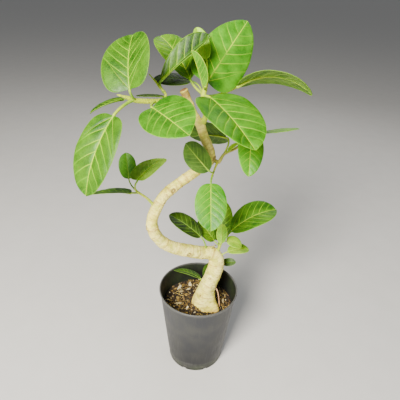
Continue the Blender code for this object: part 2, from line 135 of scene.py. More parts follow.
# Leaves: what each is called, its limb and its place along it; the stalk's heading, pitch and length; the
# blade's heading, pitch and roll; its length and width; its droop and fold; where it is widest; how far its
# base sweeps back; its green. Headings go from +X towards +Y and pitches up from level, in degrees, and
# lengths are in mm
LEAVES = (
    ("top_left", "left_branch", .812, (-118, 57, 20), (108, 57, 38), (88, 77), 34, 20, .42, .16, "leaf"),
    ("hanging_left", "left_branch", .843, (-128, -23, 38), (-126, -41, 5), (113, 66), 40, 11, .45, .13, "leaf"),
    ("front_left", "left_branch", .508, (-92, -2, 29), (-58, 0, -29), (94, 69), 12, 20, .48, .10, "grass"),
    ("crown_back", "top_shoot", .652, (126, 22, 39), (134, 50, 18), (103, 51), 43, 16, .55, .04, "sunlit"),
    ("crown_folded", "top_twig", .28, (120, 50, 19), (15, 43, -28), (92, 44), 9, 45, .62, .03, "deep"),
    ("crown_right", "top_shoot", .886, (80, -10, 9), (56, 36, -38), (123, 86), -7, -11, .40, .08, "fresh"),
    ("unfurling", "top_shoot", .787, (-97, 17, 21), (180, 72, -20), (50, 26), 8, 52, .50, .00, "fresh"),
    ("crown_far", "top_shoot", 1.0, (88, 35, 32), (138, 64, 30), (48, 24), 15, 30, .50, .05, "bud"),
    ("far_right", "top_shoot", .606, (36, 8, 64), (8, 35, 32), (122, 78), 82, 5, .50, .06, "olive"),
    ("front_right", "top_shoot", .631, (-47, 0, 15), (-58, -9, -1), (118, 85), 21, 18, .42, .06, "grass"),
    ("right_edge", "right_twig", .91, (39, 14, 29), (1, 14, 11), (67, 31), 9, 7, .50, .06, "lime"),
    ("right_hanging", "right_twig", 1.0, (-76, 50, 19), (-90, -32, 7), (72, 40), 26, 15, .40, .06, "fresh"),
    ("right_bud", "right_twig", .45, (-60, 40, 6), (-16, 47, -30), (22, 12), 5, 40, .50, .00, "spring"),
    ("behind_trunk", "right_twig", .39, (81, 45, 30), (136, -4, -55), (73, 56), 29, 16, .50, .00, "deep"),
    ("elbow", "lower_twig", .72, (-119, 27, 18), (152, 37, -92), (57, 46), -6, 1, .50, .04, "forest"),
    ("inner_hanging", "lower_twig", 1.0, (-98, -26, 16), (-88, -32, -4), (77, 50), 21, 11, .47, .04, "fresh"),
    ("left_twig_up", "left_twig", 1.0, (134, 34, 24), (114, 74, 13), (42, 28), 20, 11, .50, .09, "grass"),
    ("left_twig_cupped", "left_twig", 1.0, (-70, 55, 34), (62, 22, -167), (67, 49), -21, -2, .42, .15, "bud"),
    ("left_twig_flat", "left_twig", .88, (150, -18, 17), (165, -2, -14), (83, 45), 24, 12, .50, .06, "deep"),
    ("left_back", "left_branch", .927, (157, -24, 7), (-167, -9, -5), (49, 29), 27, 17, .50, .06, "deep"),
    ("branch_back", "left_branch", .341, (111, 6, 17), (176, 5, -3), (42, 19), 15, 7, .50, .06, "spring"),
    ("crown_shade", "top_shoot", .569, (121, 23, 43), (177, 10, 16), (58, 39), 21, 3, .50, .06, "pitch"),
    ("arm", "trunk", .29, (-176, 71, 37), (163, 39, 14), (69, 39), 27, 16, .50, .06, "pitch"),
    ("knee_large", "knee_shoot", .94, (43, 8, 24), (8, 51, -12), (93, 65), 51, 16, .55, .08, "leaf"),
    ("knee_back", "knee_shoot", .55, (137, 14, 15), (149, 48, 10), (47, 36), 17, 10, .50, .09, "olive"),
    ("knee_upright", "trunk", .24, (82, 23, 43), (85, 58, -11), (82, 48), 23, 11, .50, .10, "olive"),
    ("knee_young_up", "knee_shoot", .95, (-97, 7, 24), (88, 53, 176), (34, 19), 23, 11, .50, .10, "bud"),
    ("knee_young_side", "knee_shoot", .56, (-32, 50, 20), (6, -6, -17), (31, 27), 31, 13, .50, .14, "bud"),
    ("knee_low", "trunk", .24, (8, 42, 28), (14, 14, -9), (42, 27), 32, 20, .50, .06, "spring"),
    ("knee_back_low", "trunk", .22, (63, -21, 30), (-22, 23, -48), (28, 16), 23, 13, .50, .06, "bottle"),
    ("base_long", "base_shoot", .98, (-118, 61, 9), (151, 13, -15), (60, 23), 33, 16, .50, .06, "bottle"),
    ("base_short", "base_shoot", .35, (80, 40, 12), (83, 38, 25), (35, 22), 24, 11, .50, .06, "bottle"),
)
YOUNG_LEAVES = ("unfurling", "knee_young_up", "knee_young_side", "knee_low", "right_bud")
# Leaves that lie in shadow: they take the darker leaf finishes, which are painted shade
LEAVES_IN_PAINTED_SHADE = (
    "crown_shade", "behind_trunk", "elbow", "arm", "left_twig_up", "left_twig_flat", "knee_back_low",
    "base_long", "base_short",
)

# Round scars on the trunk where a side branch was: place in mm, radius in mm
BRANCH_SCARS = (
    ((-47, -25, 391), 5.0), ((-19, -21, 264), 4.6), ((-7, -11, 258), 3.2), ((5, -8, 247), 2.6),
    ((16, 7, 436), 4.4), ((-90, -40, 330), 3.4), ((20, -14, 205), 3.0), ((3, -22, 170), 3.0),
    ((-72, -36, 300), 2.6), ((-60, -34, 372), 2.4), ((8, 0, 462), 2.8),
    ((-76, -32, 365), 3.6), ((15, 13, 430), 5.4), ((28, 9, 241), 4.2),
)


# ---------------------------------------------------------------- small helpers

def linear(hex_colour):
    """An sRGB hex colour as the linear RGBA that the shader takes."""
    parts = [int(hex_colour[start:start + 2], 16) / 255 for start in (1, 3, 5)]
    return (*[part / 12.92 if part <= 0.04045 else ((part + 0.055) / 1.055) ** 2.4 for part in parts], 1.0)


def smooth_step(value, low, high):
    """0 below low, 1 above high, and an even curve between."""
    share = min(1, max(0, (value - low) / (high - low)))
    return share * share * (3 - 2 * share)


def bell(distance, spread):
    """1 where the distance is 0, falling evenly to almost 0 at twice the spread."""
    return math.exp(-((distance / spread) ** 2))


def ripple(place, size, seed=0):
    """Smooth noise from -1 to 1 at a place in metres, with hills of about that size in mm."""
    return noise.noise(place / (size * MM) + Vector((seed * 7.3, seed * 3.1, seed * 5.7)))


def only(*objects):
    """Leaves these objects selected and no others, the first of them active."""
    bpy.ops.object.select_all(action="DESELECT")
    for obj in objects:
        obj.select_set(True)
    if objects:
        bpy.context.view_layer.objects.active = objects[0]


def add(tree, kind, settings=None, inputs=None, output=0):
    """Adds a shader node with its settings, gives its inputs values or links, and returns one output."""
    made = tree.nodes.new("ShaderNode" + kind)
    for name, value in (settings or {}).items():
        setattr(made, name, value)
    for key, value in (inputs or {}).items():
        if isinstance(value, bpy.types.NodeSocket):
            tree.links.new(value, made.inputs[key])
        else:
            made.inputs[key].default_value = value
    return made.outputs[output]


def new_material(name):
    """A material with its node tree, its Principled shader and the object's own coordinates."""
    material = bpy.data.materials.new(name)
    material.use_nodes = True
    tree = material.node_tree
    place = add(tree, "TexCoord", output="Object")
    return material, tree, tree.nodes["Principled BSDF"], place


BLEND = {"data_type": "RGBA", "blend_type": "MIX"}
DARKEN = {"data_type": "RGBA", "blend_type": "MULTIPLY"}
TIMES, TIMES_PLUS = {"operation": "MULTIPLY"}, {"operation": "MULTIPLY_ADD"}
SMOOTH = {"interpolation_type": "SMOOTHSTEP"}
FACTOR, FIRST, SECOND, MIXED = 0, 6, 7, 2  # the Mix node's sockets for colours
LOW, HIGH, TO_LOW, TO_HIGH = 1, 2, 3, 4  # the Map Range node's sockets


# ---------------------------------------------------------------- shapes

def smooth_route(points, step):
    """Points a step apart on the smooth curve through the given ones, each with its radius, in metres."""
    knots = [Vector(point) * MM for point in points]
    knots = [2 * knots[0] - knots[1], *knots, 2 * knots[-1] - knots[-2]]
    route = []
    for a, b, c, d in zip(knots, knots[1:], knots[2:], knots[3:]):
        count = max(1, round((c - b).xyz.length / step))
        slope, bend, twist = c - a, 2 * a - 5 * b + 4 * c - d, 3 * b - a - 3 * c + d
        for index in range(count):
            t = index / count
            route.append((2 * b + slope * t + bend * t**2 + twist * t**3) / 2)
    route.append(knots[-2])
    return [(point.xyz, point.w / 2) for point in route]


def point_along(route, share):
    """The place at a share of the route's length."""
    places = [place for place, _ in route]
    lengths = [(b - a).length for a, b in zip(places, places[1:])]
    left = share * sum(lengths)
    for start, end, length in zip(places, places[1:], lengths):
        if left <= length:
            return start.lerp(end, left / length)
        left -= length
    return places[-1]


def grid_piece(name, columns, rows):
    """A new flat grid, 1 m square, as an object and an open bmesh of it."""
    only()
    bpy.ops.mesh.primitive_grid_add(x_subdivisions=columns, y_subdivisions=rows, size=1, calc_uvs=True)
    piece = bpy.context.object
    piece.name = piece.data.name = name
    piece.data.uv_layers[0].name = "skin"
    shape = bmesh.new()
    shape.from_mesh(piece.data)
    return piece, shape


def closed_up(piece, shape):
    """Merges the seam and the poles, turns the faces outward, and shades the piece smooth."""
    bmesh.ops.remove_doubles(shape, verts=shape.verts, dist=1e-6)
    bmesh.ops.recalc_face_normals(shape, faces=shape.faces)
    shape.to_mesh(piece.data)
    shape.free()
    piece.data.shade_smooth()
    return piece


def sleeve(name, route, sides, relief=None):
    """A closed tube along the route. relief(along, outward, spot) gives how far the surface rises there, and
    how much of a ring and of a scar it is. The rise, along and the attribute grain, which runs with the tube,
    are in mm."""
    places = [place for place, _ in route]
    before, after = [places[0], *places], [*places[1:], places[-1]]
    ways = [(ahead - behind).normalized() for behind, ahead in zip(before, after)]
    side = ways[0].orthogonal().normalized()
    frames, along = [], 0.0
    for index, way in enumerate(ways):
        if index:
            side = (side - way * side.dot(way)).normalized()
            along += (places[index] - places[index - 1]).length / MM
        frames.append((side.copy(), way.cross(side), along))
    rows = len(route) + 1
    piece, shape = grid_piece(name, sides, rows)
    grain = shape.verts.layers.float_vector.new("grain")
    ring = shape.verts.layers.float.new("ring")
    scar = shape.verts.layers.float.new("scar")
    for vert in shape.verts:
        angle = 2 * math.pi * (vert.co.x + 0.5)
        row = round((vert.co.y + 0.5) * rows)
        index = min(max(row - 1, 0), len(route) - 1)
        across, over, along = frames[index]
        place, radius = route[index]
        outward = math.cos(angle) * across + math.sin(angle) * over
        spot = place + radius * outward
        rise, vert[ring], vert[scar] = relief(along, outward, spot) if relief else (0, 0, 0)
        if row in (0, rows):
            vert.co = place
        else:
            vert.co = place + (radius + rise * MM) * outward
        vert[grain] = (math.cos(angle) * radius / MM, math.sin(angle) * radius / MM, along)
    return closed_up(piece, shape)


def turned(name, sides, profile):
    """A closed shape turned about Z: a disc at the profile's first point, extruded through the others."""
    only()
    radius, height = profile[0]
    bpy.ops.mesh.primitive_circle_add(vertices=sides, radius=radius, fill_type="NGON", location=(0, 0, 0))
    piece = bpy.context.object
    piece.name = piece.data.name = name
    bpy.ops.object.mode_set(mode="EDIT")
    bpy.ops.mesh.select_all(action="SELECT")
    bpy.ops.transform.translate(value=(0, 0, height))
    for new_radius, new_height in profile[1:]:
        bpy.ops.mesh.extrude_region_move(TRANSFORM_OT_translate={"value": (0, 0, new_height - height)})
        bpy.ops.transform.resize(value=(new_radius / radius, new_radius / radius, 1))
        radius, height = new_radius, new_height
    bpy.ops.mesh.select_all(action="SELECT")
    bpy.ops.mesh.normals_make_consistent(inside=False)
    bpy.ops.object.mode_set(mode="OBJECT")
    return piece


def joined(name, pieces):
    """The pieces as one object."""
    only(*pieces)
    bpy.ops.object.join()
    piece = bpy.context.object
    piece.name = piece.data.name = name
    return piece


def applied(piece, kind, **settings):
    """Adds a modifier with those settings and applies it."""
    only(piece)
    modifier = piece.modifiers.new(kind.lower(), kind)
    for key, value in settings.items():
        setattr(modifier, key, value)
    bpy.ops.object.modifier_apply(modifier=modifier.name)
    return piece


def placed(piece, slot, *nodes):
    """Rides the piece on the plant's one body, in place of those nodes; slot is not used. Points that stand a
    hair out of the model's box are drawn in to it."""
    for vert in piece.data.vertices:
        vert.co = [min(max(vert.co[axis], cad_box[0][axis]), cad_box[1][axis]) for axis in range(3)]
    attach(piece, "root")
    if nodes:
        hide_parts(*nodes)
    return piece


# ---------------------------------------------------------------- materials

def vein_pattern(tree, place):
    """A fig leaf's veins as shares of their colour: the lines, and the lighter glow along them. The UV map
    skin runs from 0 to 1 across the blade and along it. The attribute midrib is how far the midrib is."""
    surface = add(tree, "UVMap", {"uv_map": "skin"})
    apart = add(tree, "SeparateXYZ", None, {0: surface})
    share = apart.node.outputs[1]
    signed = add(tree, "Math", TIMES_PLUS, {0: apart, 1: 2.0, 2: -1.0})
    across = add(tree, "Math", {"operation": "ABSOLUTE"}, {0: signed})
    hand = add(tree, "Math", {"operation": "SIGN"}, {0: signed})
    wander = add(tree, "TexNoise", None, {"Vector": place, "Scale": 60.0, "Detail": 1.0})
    # Side veins leave the midrib a step apart, the left ones a little lower, and curve towards the tip
    from_midrib = add(tree, "Attribute", {"attribute_name": "midrib"}, output=2)
    curve = add(tree, "Math", {"operation": "POWER"}, {0: across, 1: 3.0})
    swept = add(tree, "Math", TIMES, {0: curve, 1: SWEEP_MORE})
    swept = add(tree, "Math", TIMES_PLUS, {0: from_midrib, 1: SWEEP, 2: swept})
    level = add(tree, "Math", {"operation": "SUBTRACT"}, {0: share, 1: swept})
    level = add(tree, "Math", TIMES_PLUS, {0: hand, 1: VEIN_LAG, 2: level})
    bend = add(tree, "Math", {"operation": "SUBTRACT"}, {0: wander, 1: 0.5})
    level = add(tree, "Math", TIMES_PLUS, {0: bend, 1: 0.03, 2: level})
    shifted = add(tree, "Math", {"operation": "SUBTRACT"}, {0: level, 1: FIRST_VEIN})
    side_gap = add(tree, "Math", {"operation": "PINGPONG"}, {0: shifted, 1: VEIN_STEP / 2})
    past_first = add(tree, "Math", {"operation": "GREATER_THAN"}, {0: level, 1: FIRST_VEIN - VEIN_MARGIN})
    # One more pair leaves the very base at a sharper angle
    base_line = add(tree, "Math", TIMES_PLUS, {0: from_midrib, 1: BASE_SWEEP, 2: BASE_VEIN})
    base_gap = add(tree, "Math", {"operation": "SUBTRACT"}, {0: share, 1: base_line})
    base_gap = add(tree, "Math", {"operation": "ABSOLUTE"}, {0: base_gap})
    width = add(tree, "MapRange", None, {0: across, LOW: 0.0, HIGH: 1.0, TO_LOW: 0.0048, TO_HIGH: 0.0016})
    side_ratio = add(tree, "Math", {"operation": "DIVIDE"}, {0: side_gap, 1: width})
    base_ratio = add(tree, "Math", {"operation": "DIVIDE"}, {0: base_gap, 1: width})
    line = {LOW: 0.45, HIGH: 1.25, TO_LOW: 1.0, TO_HIGH: 0.0}
    side_vein = add(tree, "MapRange", SMOOTH, {0: side_ratio, **line})
    side_vein = add(tree, "Math", TIMES, {0: side_vein, 1: past_first})
    base_vein = add(tree, "MapRange", SMOOTH, {0: base_ratio, **line})
    veins = add(tree, "Math", {"operation": "MAXIMUM"}, {0: side_vein, 1: base_vein})
    # The midrib narrows towards the tip
    rib_width = add(tree, "MapRange", None, {0: share, TO_LOW: 0.0105, TO_HIGH: 0.003})
    rib_ratio = add(tree, "Math", {"operation": "DIVIDE"}, {0: from_midrib, 1: rib_width})
    rib_line = {LOW: 0.55, HIGH: 1.15, TO_LOW: 1.0, TO_HIGH: 0.0}
    midrib = add(tree, "MapRange", SMOOTH, {0: rib_ratio, **rib_line})
    faded = add(tree, "MapRange", None, {0: across, LOW: 0.3, HIGH: 0.95, TO_LOW: 0.8, TO_HIGH: 0.25})
    near_tip = add(tree, "MapRange", None, {0: level, LOW: 0.62, HIGH: 0.8, TO_LOW: 1.0, TO_HIGH: 0.15})
    faded = add(tree, "Math", TIMES, {0: faded, 1: near_tip})
    lines = add(tree, "Math", TIMES, {0: veins, 1: faded})
    lines = add(tree, "Math", {"operation": "MAXIMUM"}, {0: lines, 1: midrib})
    # A lighter glow lies along each vein
    soft = {LOW: 0.0, HIGH: 0.026, TO_LOW: 1.0, TO_HIGH: 0.0}
    side_glow = add(tree, "MapRange", SMOOTH, {0: side_gap, **soft})
    side_glow = add(tree, "Math", TIMES, {0: side_glow, 1: past_first})
    rib_glow = add(tree, "MapRange", SMOOTH, {0: from_midrib, **soft, HIGH: 0.05})
    halo = add(tree, "Math", {"operation": "MAXIMUM"}, {0: side_glow, 1: rib_glow})
    return lines, add(tree, "Math", TIMES, {0: halo, 1: 0.3})


def leaf_skin(name, vein, glow, edge, gloss, under=None):
    """Fig leaf: a leathery blade with a waxy upper face, pale veins that branch off the midrib, a fine net
    of smaller veins between them and a thin pale edge. The under face is paler and matt, with raised veins.
    vein, glow and edge colour the lines, the band along them and the rim, and under tints an under face."""
    material, tree, skin, place = new_material(name)
    colour = add(tree, "Attribute", {"attribute_name": "leaf_colour"})
    lines, halo = vein_pattern(tree, place)
    # The net of small veins, 3 mm across a mesh
    net = add(
        tree, "TexVoronoi", {"feature": "DISTANCE_TO_EDGE"}, {"Vector": place, "Scale": 1 / (3 * MM)}
    )
    net = add(tree, "MapRange", None, {0: net, LOW: 0.02, HIGH: 0.16, TO_LOW: 1.0, TO_HIGH: 0.0})
    # Patches of darker and yellower green, 22 mm across, and a cloud of finer mottling
    patches = add(tree, "TexNoise", None, {"Vector": place, "Scale": 1 / (22 * MM), "Detail": 3.0})
    mottle = add(tree, "TexNoise", None, {"Vector": place, "Scale": 1 / (4 * MM), "Detail": 4.0})
    if under:
        colour = add(tree, "Mix", BLEND, {FACTOR: 0.62, FIRST: colour, SECOND: linear(under)}, MIXED)
    dark = add(tree, "Mix", DARKEN, {FACTOR: 1.0, FIRST: colour, SECOND: linear("#a6c88c")}, MIXED)
    light = add(tree, "Mix", BLEND, {FACTOR: 0.16, FIRST: colour, SECOND: linear("#84bc10")}, MIXED)
    swing = add(tree, "MapRange", None, {0: patches, LOW: 0.35, HIGH: 0.65})
    blade = add(tree, "Mix", BLEND, {FACTOR: swing, FIRST: dark, SECOND: light}, MIXED)
    fine = add(tree, "MapRange", None, {0: mottle, LOW: 0.35, HIGH: 0.7, TO_LOW: 0.0, TO_HIGH: 0.5})
    blade = add(tree, "Mix", DARKEN, {FACTOR: fine, FIRST: blade, SECOND: linear("#c9d6b4")}, MIXED)
    blade = add(tree, "Mix", BLEND, {FACTOR: halo, FIRST: blade, SECOND: linear(glow)}, MIXED)
    mesh_share = add(tree, "Math", TIMES, {0: net, 1: 0.14})
    blade = add(tree, "Mix", BLEND, {FACTOR: mesh_share, FIRST: blade, SECOND: linear(glow)}, MIXED)
    blade = add(tree, "Mix", BLEND, {FACTOR: lines, FIRST: blade, SECOND: linear(vein)}, MIXED)
    from_edge = add(tree, "Attribute", {"attribute_name": "edge"}, output=2)
    rim = add(tree, "MapRange", None, {0: from_edge, LOW: 0.2, HIGH: 0.85, TO_LOW: 0.6, TO_HIGH: 0.0})
    blade = add(tree, "Mix", BLEND, {FACTOR: rim, FIRST: blade, SECOND: linear(edge)}, MIXED)
    # A few brown specks, about 1 mm across
    specks = add(tree, "TexVoronoi", None, {"Vector": place, "Scale": 1 / (15 * MM)})
    specks = add(tree, "MapRange", None, {0: specks, LOW: 0.03, HIGH: 0.075, TO_LOW: 0.75, TO_HIGH: 0.0})
    blade = add(tree, "Mix", BLEND, {FACTOR: specks, FIRST: blade, SECOND: linear("#6b5a24")}, MIXED)
    tree.links.new(blade, skin.inputs["Base Color"])
    rough = add(
        tree, "MapRange", None, {0: mottle, LOW: 0.3, HIGH: 0.7, TO_LOW: gloss, TO_HIGH: gloss + 0.14}
    )
    tree.links.new(rough, skin.inputs["Roughness"])
    # Veins are sunk in the upper face and stand out of the under face
    height = add(tree, "Math", TIMES_PLUS, {0: net, 1: 0.25, 2: lines})
    height = add(tree, "Math", TIMES_PLUS, {0: mottle, 1: -0.35, 2: height})
    bump = add(
        tree, "Bump", {"invert": not under}, {"Strength": 0.55, "Distance": 0.35 * MM, "Height": height}
    )
    tree.links.new(bump, skin.inputs["Normal"])
    skin.inputs["Specular IOR Level"].default_value = 0.25
    skin.inputs["Subsurface Weight"].default_value = 0.12
    skin.inputs["Subsurface Radius"].default_value = (0.4, 1.0, 0.15)
    skin.inputs["Subsurface Scale"].default_value = 1.2 * MM
    return material


def stem_skin(name, pale, deep, ring_colour, scar_colour, gloss, ring_depth=0.7, top=None, patchy=0.0):
    """Bark or green stem skin: long fine wrinkles that run with the limb, corky dots, darker rings at the old
    leaf joints and brown scars. top is the colour that it changes to where the limb gets younger, and patchy
    is how strongly green and corky patches show. The grain's coordinates are in mm."""
    material, tree, skin, place = new_material(name)
    grain = add(tree, "Attribute", {"attribute_name": "grain"}, output=1)
    stretched = add(tree, "Mapping", None, {0: grain, "Scale": (1.0, 1.0, 0.22)})
    squeezed = add(tree, "Mapping", None, {0: grain, "Scale": (0.35, 0.35, 1.6)})
    wrinkles = add(
        tree, "TexNoise", None, {"Vector": stretched, "Scale": 0.9, "Detail": 6.0, "Roughness": 0.62}
    )
    bands = add(tree, "TexNoise", None, {"Vector": squeezed, "Scale": 0.5, "Detail": 4.0, "Roughness": 0.6})
    clouds = add(tree, "TexNoise", None, {"Vector": place, "Scale": 1 / (26 * MM), "Detail": 3.0})
    swing = add(tree, "MapRange", None, {0: clouds, LOW: 0.38, HIGH: 0.62})
    bark = add(tree, "Mix", BLEND, {FACTOR: swing, FIRST: linear(pale), SECOND: linear(deep)}, MIXED)
    if top:
        along = add(tree, "SeparateXYZ", None, {0: grain}).node.outputs[2]
        aged = add(tree, "MapRange", None, {0: along, LOW: 330.0, HIGH: 560.0, TO_LOW: 0.0, TO_HIGH: 0.85})
        bark = add(tree, "Mix", BLEND, {FACTOR: aged, FIRST: bark, SECOND: linear(top)}, MIXED)
    if patchy:
        # Green where the skin is thin, in patches 13 mm across, and tan where it has corked over, in ragged
        # marks 12 mm wide and 3 mm high
        thin = add(
            tree, "TexNoise", None,
            {"Vector": place, "Scale": 1 / (13 * MM), "Detail": 5.0, "Roughness": 0.6},
        )
        thin = add(tree, "MapRange", None, {0: thin, LOW: 0.48, HIGH: 0.62, TO_LOW: 0.0, TO_HIGH: patchy})
        bark = add(tree, "Mix", BLEND, {FACTOR: thin, FIRST: bark, SECOND: linear("#b4bc24")}, MIXED)
        corky = add(
            tree, "TexNoise", None,
            {"Vector": squeezed, "Scale": 0.24, "Detail": 6.0, "Roughness": 0.7, "Distortion": 0.6},
        )
        corky = add(tree, "MapRange", None, {0: corky, LOW: 0.51, HIGH: 0.64, TO_LOW: 0.0, TO_HIGH: patchy})
        bark = add(tree, "Mix", BLEND, {FACTOR: corky, FIRST: bark, SECOND: linear("#b08a48")}, MIXED)
    streak = add(tree, "MapRange", None, {0: wrinkles, LOW: 0.5, HIGH: 0.72, TO_LOW: 0.0, TO_HIGH: 0.3})
    bark = add(tree, "Mix", BLEND, {FACTOR: streak, FIRST: bark, SECOND: linear(ring_colour)}, MIXED)
    banding = add(tree, "MapRange", None, {0: bands, LOW: 0.55, HIGH: 0.7, TO_LOW: 0.0, TO_HIGH: 0.3})
    bark = add(tree, "Mix", BLEND, {FACTOR: banding, FIRST: bark, SECOND: linear(ring_colour)}, MIXED)
    # Corky breathing dots in a loose pattern, 7 mm apart round the limb and 1.5 mm along it
    dots = add(tree, "TexVoronoi", None, {"Vector": squeezed, "Scale": 0.42})
    dots = add(tree, "MapRange", None, {0: dots, LOW: 0.1, HIGH: 0.22, TO_LOW: 0.7, TO_HIGH: 0.0})
    bark = add(tree, "Mix", BLEND, {FACTOR: dots, FIRST: bark, SECOND: linear(scar_colour)}, MIXED)
    ring = add(tree, "Attribute", {"attribute_name": "ring"}, output=2)
    ring_share = add(tree, "Math", TIMES, {0: ring, 1: ring_depth})
    bark = add(tree, "Mix", BLEND, {FACTOR: ring_share, FIRST: bark, SECOND: linear(ring_colour)}, MIXED)
    scar = add(tree, "Attribute", {"attribute_name": "scar"}, output=2)
    scar_share = add(tree, "Math", TIMES_PLUS, {0: wrinkles, 1: 0.5, 2: scar})
    scar_share = add(tree, "MapRange", None, {0: scar_share, LOW: 0.5, HIGH: 0.95})
    bark = add(tree, "Mix", BLEND, {FACTOR: scar_share, FIRST: bark, SECOND: linear(scar_colour)}, MIXED)
    if patchy:
        # The foot is stained brown by the soil
        height = add(tree, "SeparateXYZ", None, {0: place}).node.outputs[2]
        ragged = add(tree, "Math", TIMES_PLUS, {0: clouds, 1: 20 * MM, 2: height})
        splashed = {LOW: SOIL_CROWN + 5 * MM, HIGH: SOIL_CROWN + 20 * MM, TO_LOW: 0.9, TO_HIGH: 0.0}
        stain = add(tree, "MapRange", None, {0: ragged, **splashed})
        bark = add(tree, "Mix", BLEND, {FACTOR: stain, FIRST: bark, SECOND: linear("#b98a4e")}, MIXED)
    tree.links.new(bark, skin.inputs["Base Color"])
    rough = add(tree, "MapRange", None, {0: wrinkles, TO_LOW: gloss, TO_HIGH: gloss + 0.2})
    tree.links.new(rough, skin.inputs["Roughness"])
    relief = add(tree, "Math", TIMES_PLUS, {0: bands, 1: 0.8, 2: wrinkles})
    relief = add(tree, "Math", TIMES_PLUS, {0: dots, 1: 0.6, 2: relief})
    bump = add(tree, "Bump", None, {"Strength": 0.7, "Distance": 0.8 * MM, "Height": relief})
    tree.links.new(bump, skin.inputs["Normal"])
    return material


def pot_plastic():
    """Black polypropylene, injection moulded in one shot: satin where it is clean, but greyed all over by
    dust and dried splashes, with painted shade darkening it towards the foot, chalky lime round the bottom
    edge, a painted highlight along the rim, and painted shade and a green film inside."""
    material, tree, skin, place = new_material("black polypropylene, injection moulded, dusty")
    apart = add(tree, "SeparateXYZ", None, {0: place})
    height = apart.node.outputs[2]
    cloud = add(tree, "TexNoise", None, {"Vector": place, "Scale": 1 / (30 * MM), "Detail": 4.0})
    runs = add(tree, "Mapping", None, {0: place, "Scale": (1.0, 1.0, 0.16)})
    streaks = add(
        tree, "TexNoise", None, {"Vector": runs, "Scale": 1 / (4 * MM), "Detail": 5.0, "Roughness": 0.6}
    )
    speckle = add(tree, "TexNoise", None, {"Vector": place, "Scale": 1 / (0.9 * MM), "Detail": 3.0})
    blotch = add(tree, "MapRange", None, {0: cloud, LOW: 0.36, HIGH: 0.66})
    coat = add(
        tree, "Mix", BLEND, {FACTOR: blotch, FIRST: linear("#2c2e33"), SECOND: linear("#3a3b39")}, MIXED
    )
    run = add(tree, "MapRange", None, {0: streaks, LOW: 0.48, HIGH: 0.7, TO_LOW: 0.0, TO_HIGH: 0.2})
    coat = add(tree, "Mix", BLEND, {FACTOR: run, FIRST: coat, SECOND: linear("#5e5d58")}, MIXED)
    bare = add(tree, "MapRange", None, {0: speckle, LOW: 0.55, HIGH: 0.7, TO_LOW: 0.0, TO_HIGH: 0.45})
    coat = add(tree, "Mix", BLEND, {FACTOR: bare, FIRST: coat, SECOND: linear("#232427")}, MIXED)
    # Painted shade darkens the wall towards the foot, and a paler band lies just above the bottom edge
    uneven = add(tree, "Math", TIMES_PLUS, {0: cloud, 1: 30 * MM, 2: height})
    foot = add(tree, "MapRange", None, {0: uneven, LOW: 30 * MM, HIGH: 140 * MM, TO_LOW: 0.85, TO_HIGH: 0.0})
    coat = add(tree, "Mix", BLEND, {FACTOR: foot, FIRST: coat, SECOND: linear("#0b0d11")}, MIXED)
    ring = add(tree, "MapRange", None, {0: uneven, LOW: 28 * MM, HIGH: 37 * MM, TO_LOW: 0.55, TO_HIGH: 0.0})
    coat = add(tree, "Mix", BLEND, {FACTOR: ring, FIRST: coat, SECOND: linear("#4c4c49")}, MIXED)
    # Lime dries where the pot stands wet
    splash = add(
        tree, "TexNoise", None, {"Vector": place, "Scale": 1 / (9 * MM), "Detail": 6.0, "Roughness": 0.7}
    )
    crust = add(tree, "Math", TIMES_PLUS, {0: splash, 1: -30 * MM, 2: height})
    lime = add(tree, "MapRange", None, {0: crust, LOW: -14 * MM, HIGH: -4 * MM, TO_LOW: 0.8, TO_HIGH: 0.0})
    coat = add(tree, "Mix", BLEND, {FACTOR: lime, FIRST: coat, SECOND: linear("#c4bfae")}, MIXED)
    # A painted highlight runs round the top of the rim as a pale band
    rim_highlight = add(tree, "Math", TIMES_PLUS, {0: streaks, 1: -3 * MM, 2: height})
    rim_highlight_band = {LOW: BODY_TOP - 1.8 * MM, HIGH: BODY_TOP, TO_LOW: 0.0, TO_HIGH: 0.25}
    rim_highlight = add(tree, "MapRange", None, {0: rim_highlight, **rim_highlight_band})
    coat = add(tree, "Mix", BLEND, {FACTOR: rim_highlight, FIRST: coat, SECOND: linear("#7f7e78")}, MIXED)
    # Inside, above the soil, the wall is darker, which is painted shade, and has a green film
    across = add(tree, "VectorMath", TIMES, {0: place, 1: (1.0, 1.0, 0.0)})
    radius = add(tree, "VectorMath", {"operation": "LENGTH"}, {0: across}, 1)
    tapered = {TO_LOW: BODY_FOOT_RADIUS - 1 * MM, TO_HIGH: BODY_TOP_RADIUS - 1 * MM}
    wall = add(tree, "MapRange", None, {0: height, LOW: FOOT_HEIGHT, HIGH: BODY_TOP, **tapered})
    depth = add(tree, "Math", {"operation": "SUBTRACT"}, {0: radius, 1: wall})
    inside = add(
        tree, "MapRange", None, {0: depth, LOW: -0.6 * MM, HIGH: 0.2 * MM, TO_LOW: 1.0, TO_HIGH: 0.0}
    )
    inside_shade_and_film = add(
        tree, "Mix", BLEND, {FACTOR: blotch, FIRST: linear("#1c1e1c"), SECOND: linear("#28311f")}, MIXED
    )
    coat = add(tree, "Mix", BLEND, {FACTOR: inside, FIRST: coat, SECOND: inside_shade_and_film}, MIXED)
    tree.links.new(coat, skin.inputs["Base Color"])
    rough = add(tree, "MapRange", None, {0: streaks, LOW: 0.3, HIGH: 0.7, TO_LOW: 0.36, TO_HIGH: 0.54})
    tree.links.new(rough, skin.inputs["Roughness"])
    skin.inputs["Specular IOR Level"].default_value = 0.4
    dents = add(tree, "Math", TIMES_PLUS, {0: speckle, 1: 0.4, 2: cloud})
    bump = add(tree, "Bump", None, {"Strength": 0.35, "Distance": 0.4 * MM, "Height": dents})
    tree.links.new(bump, skin.inputs["Normal"])
    return material


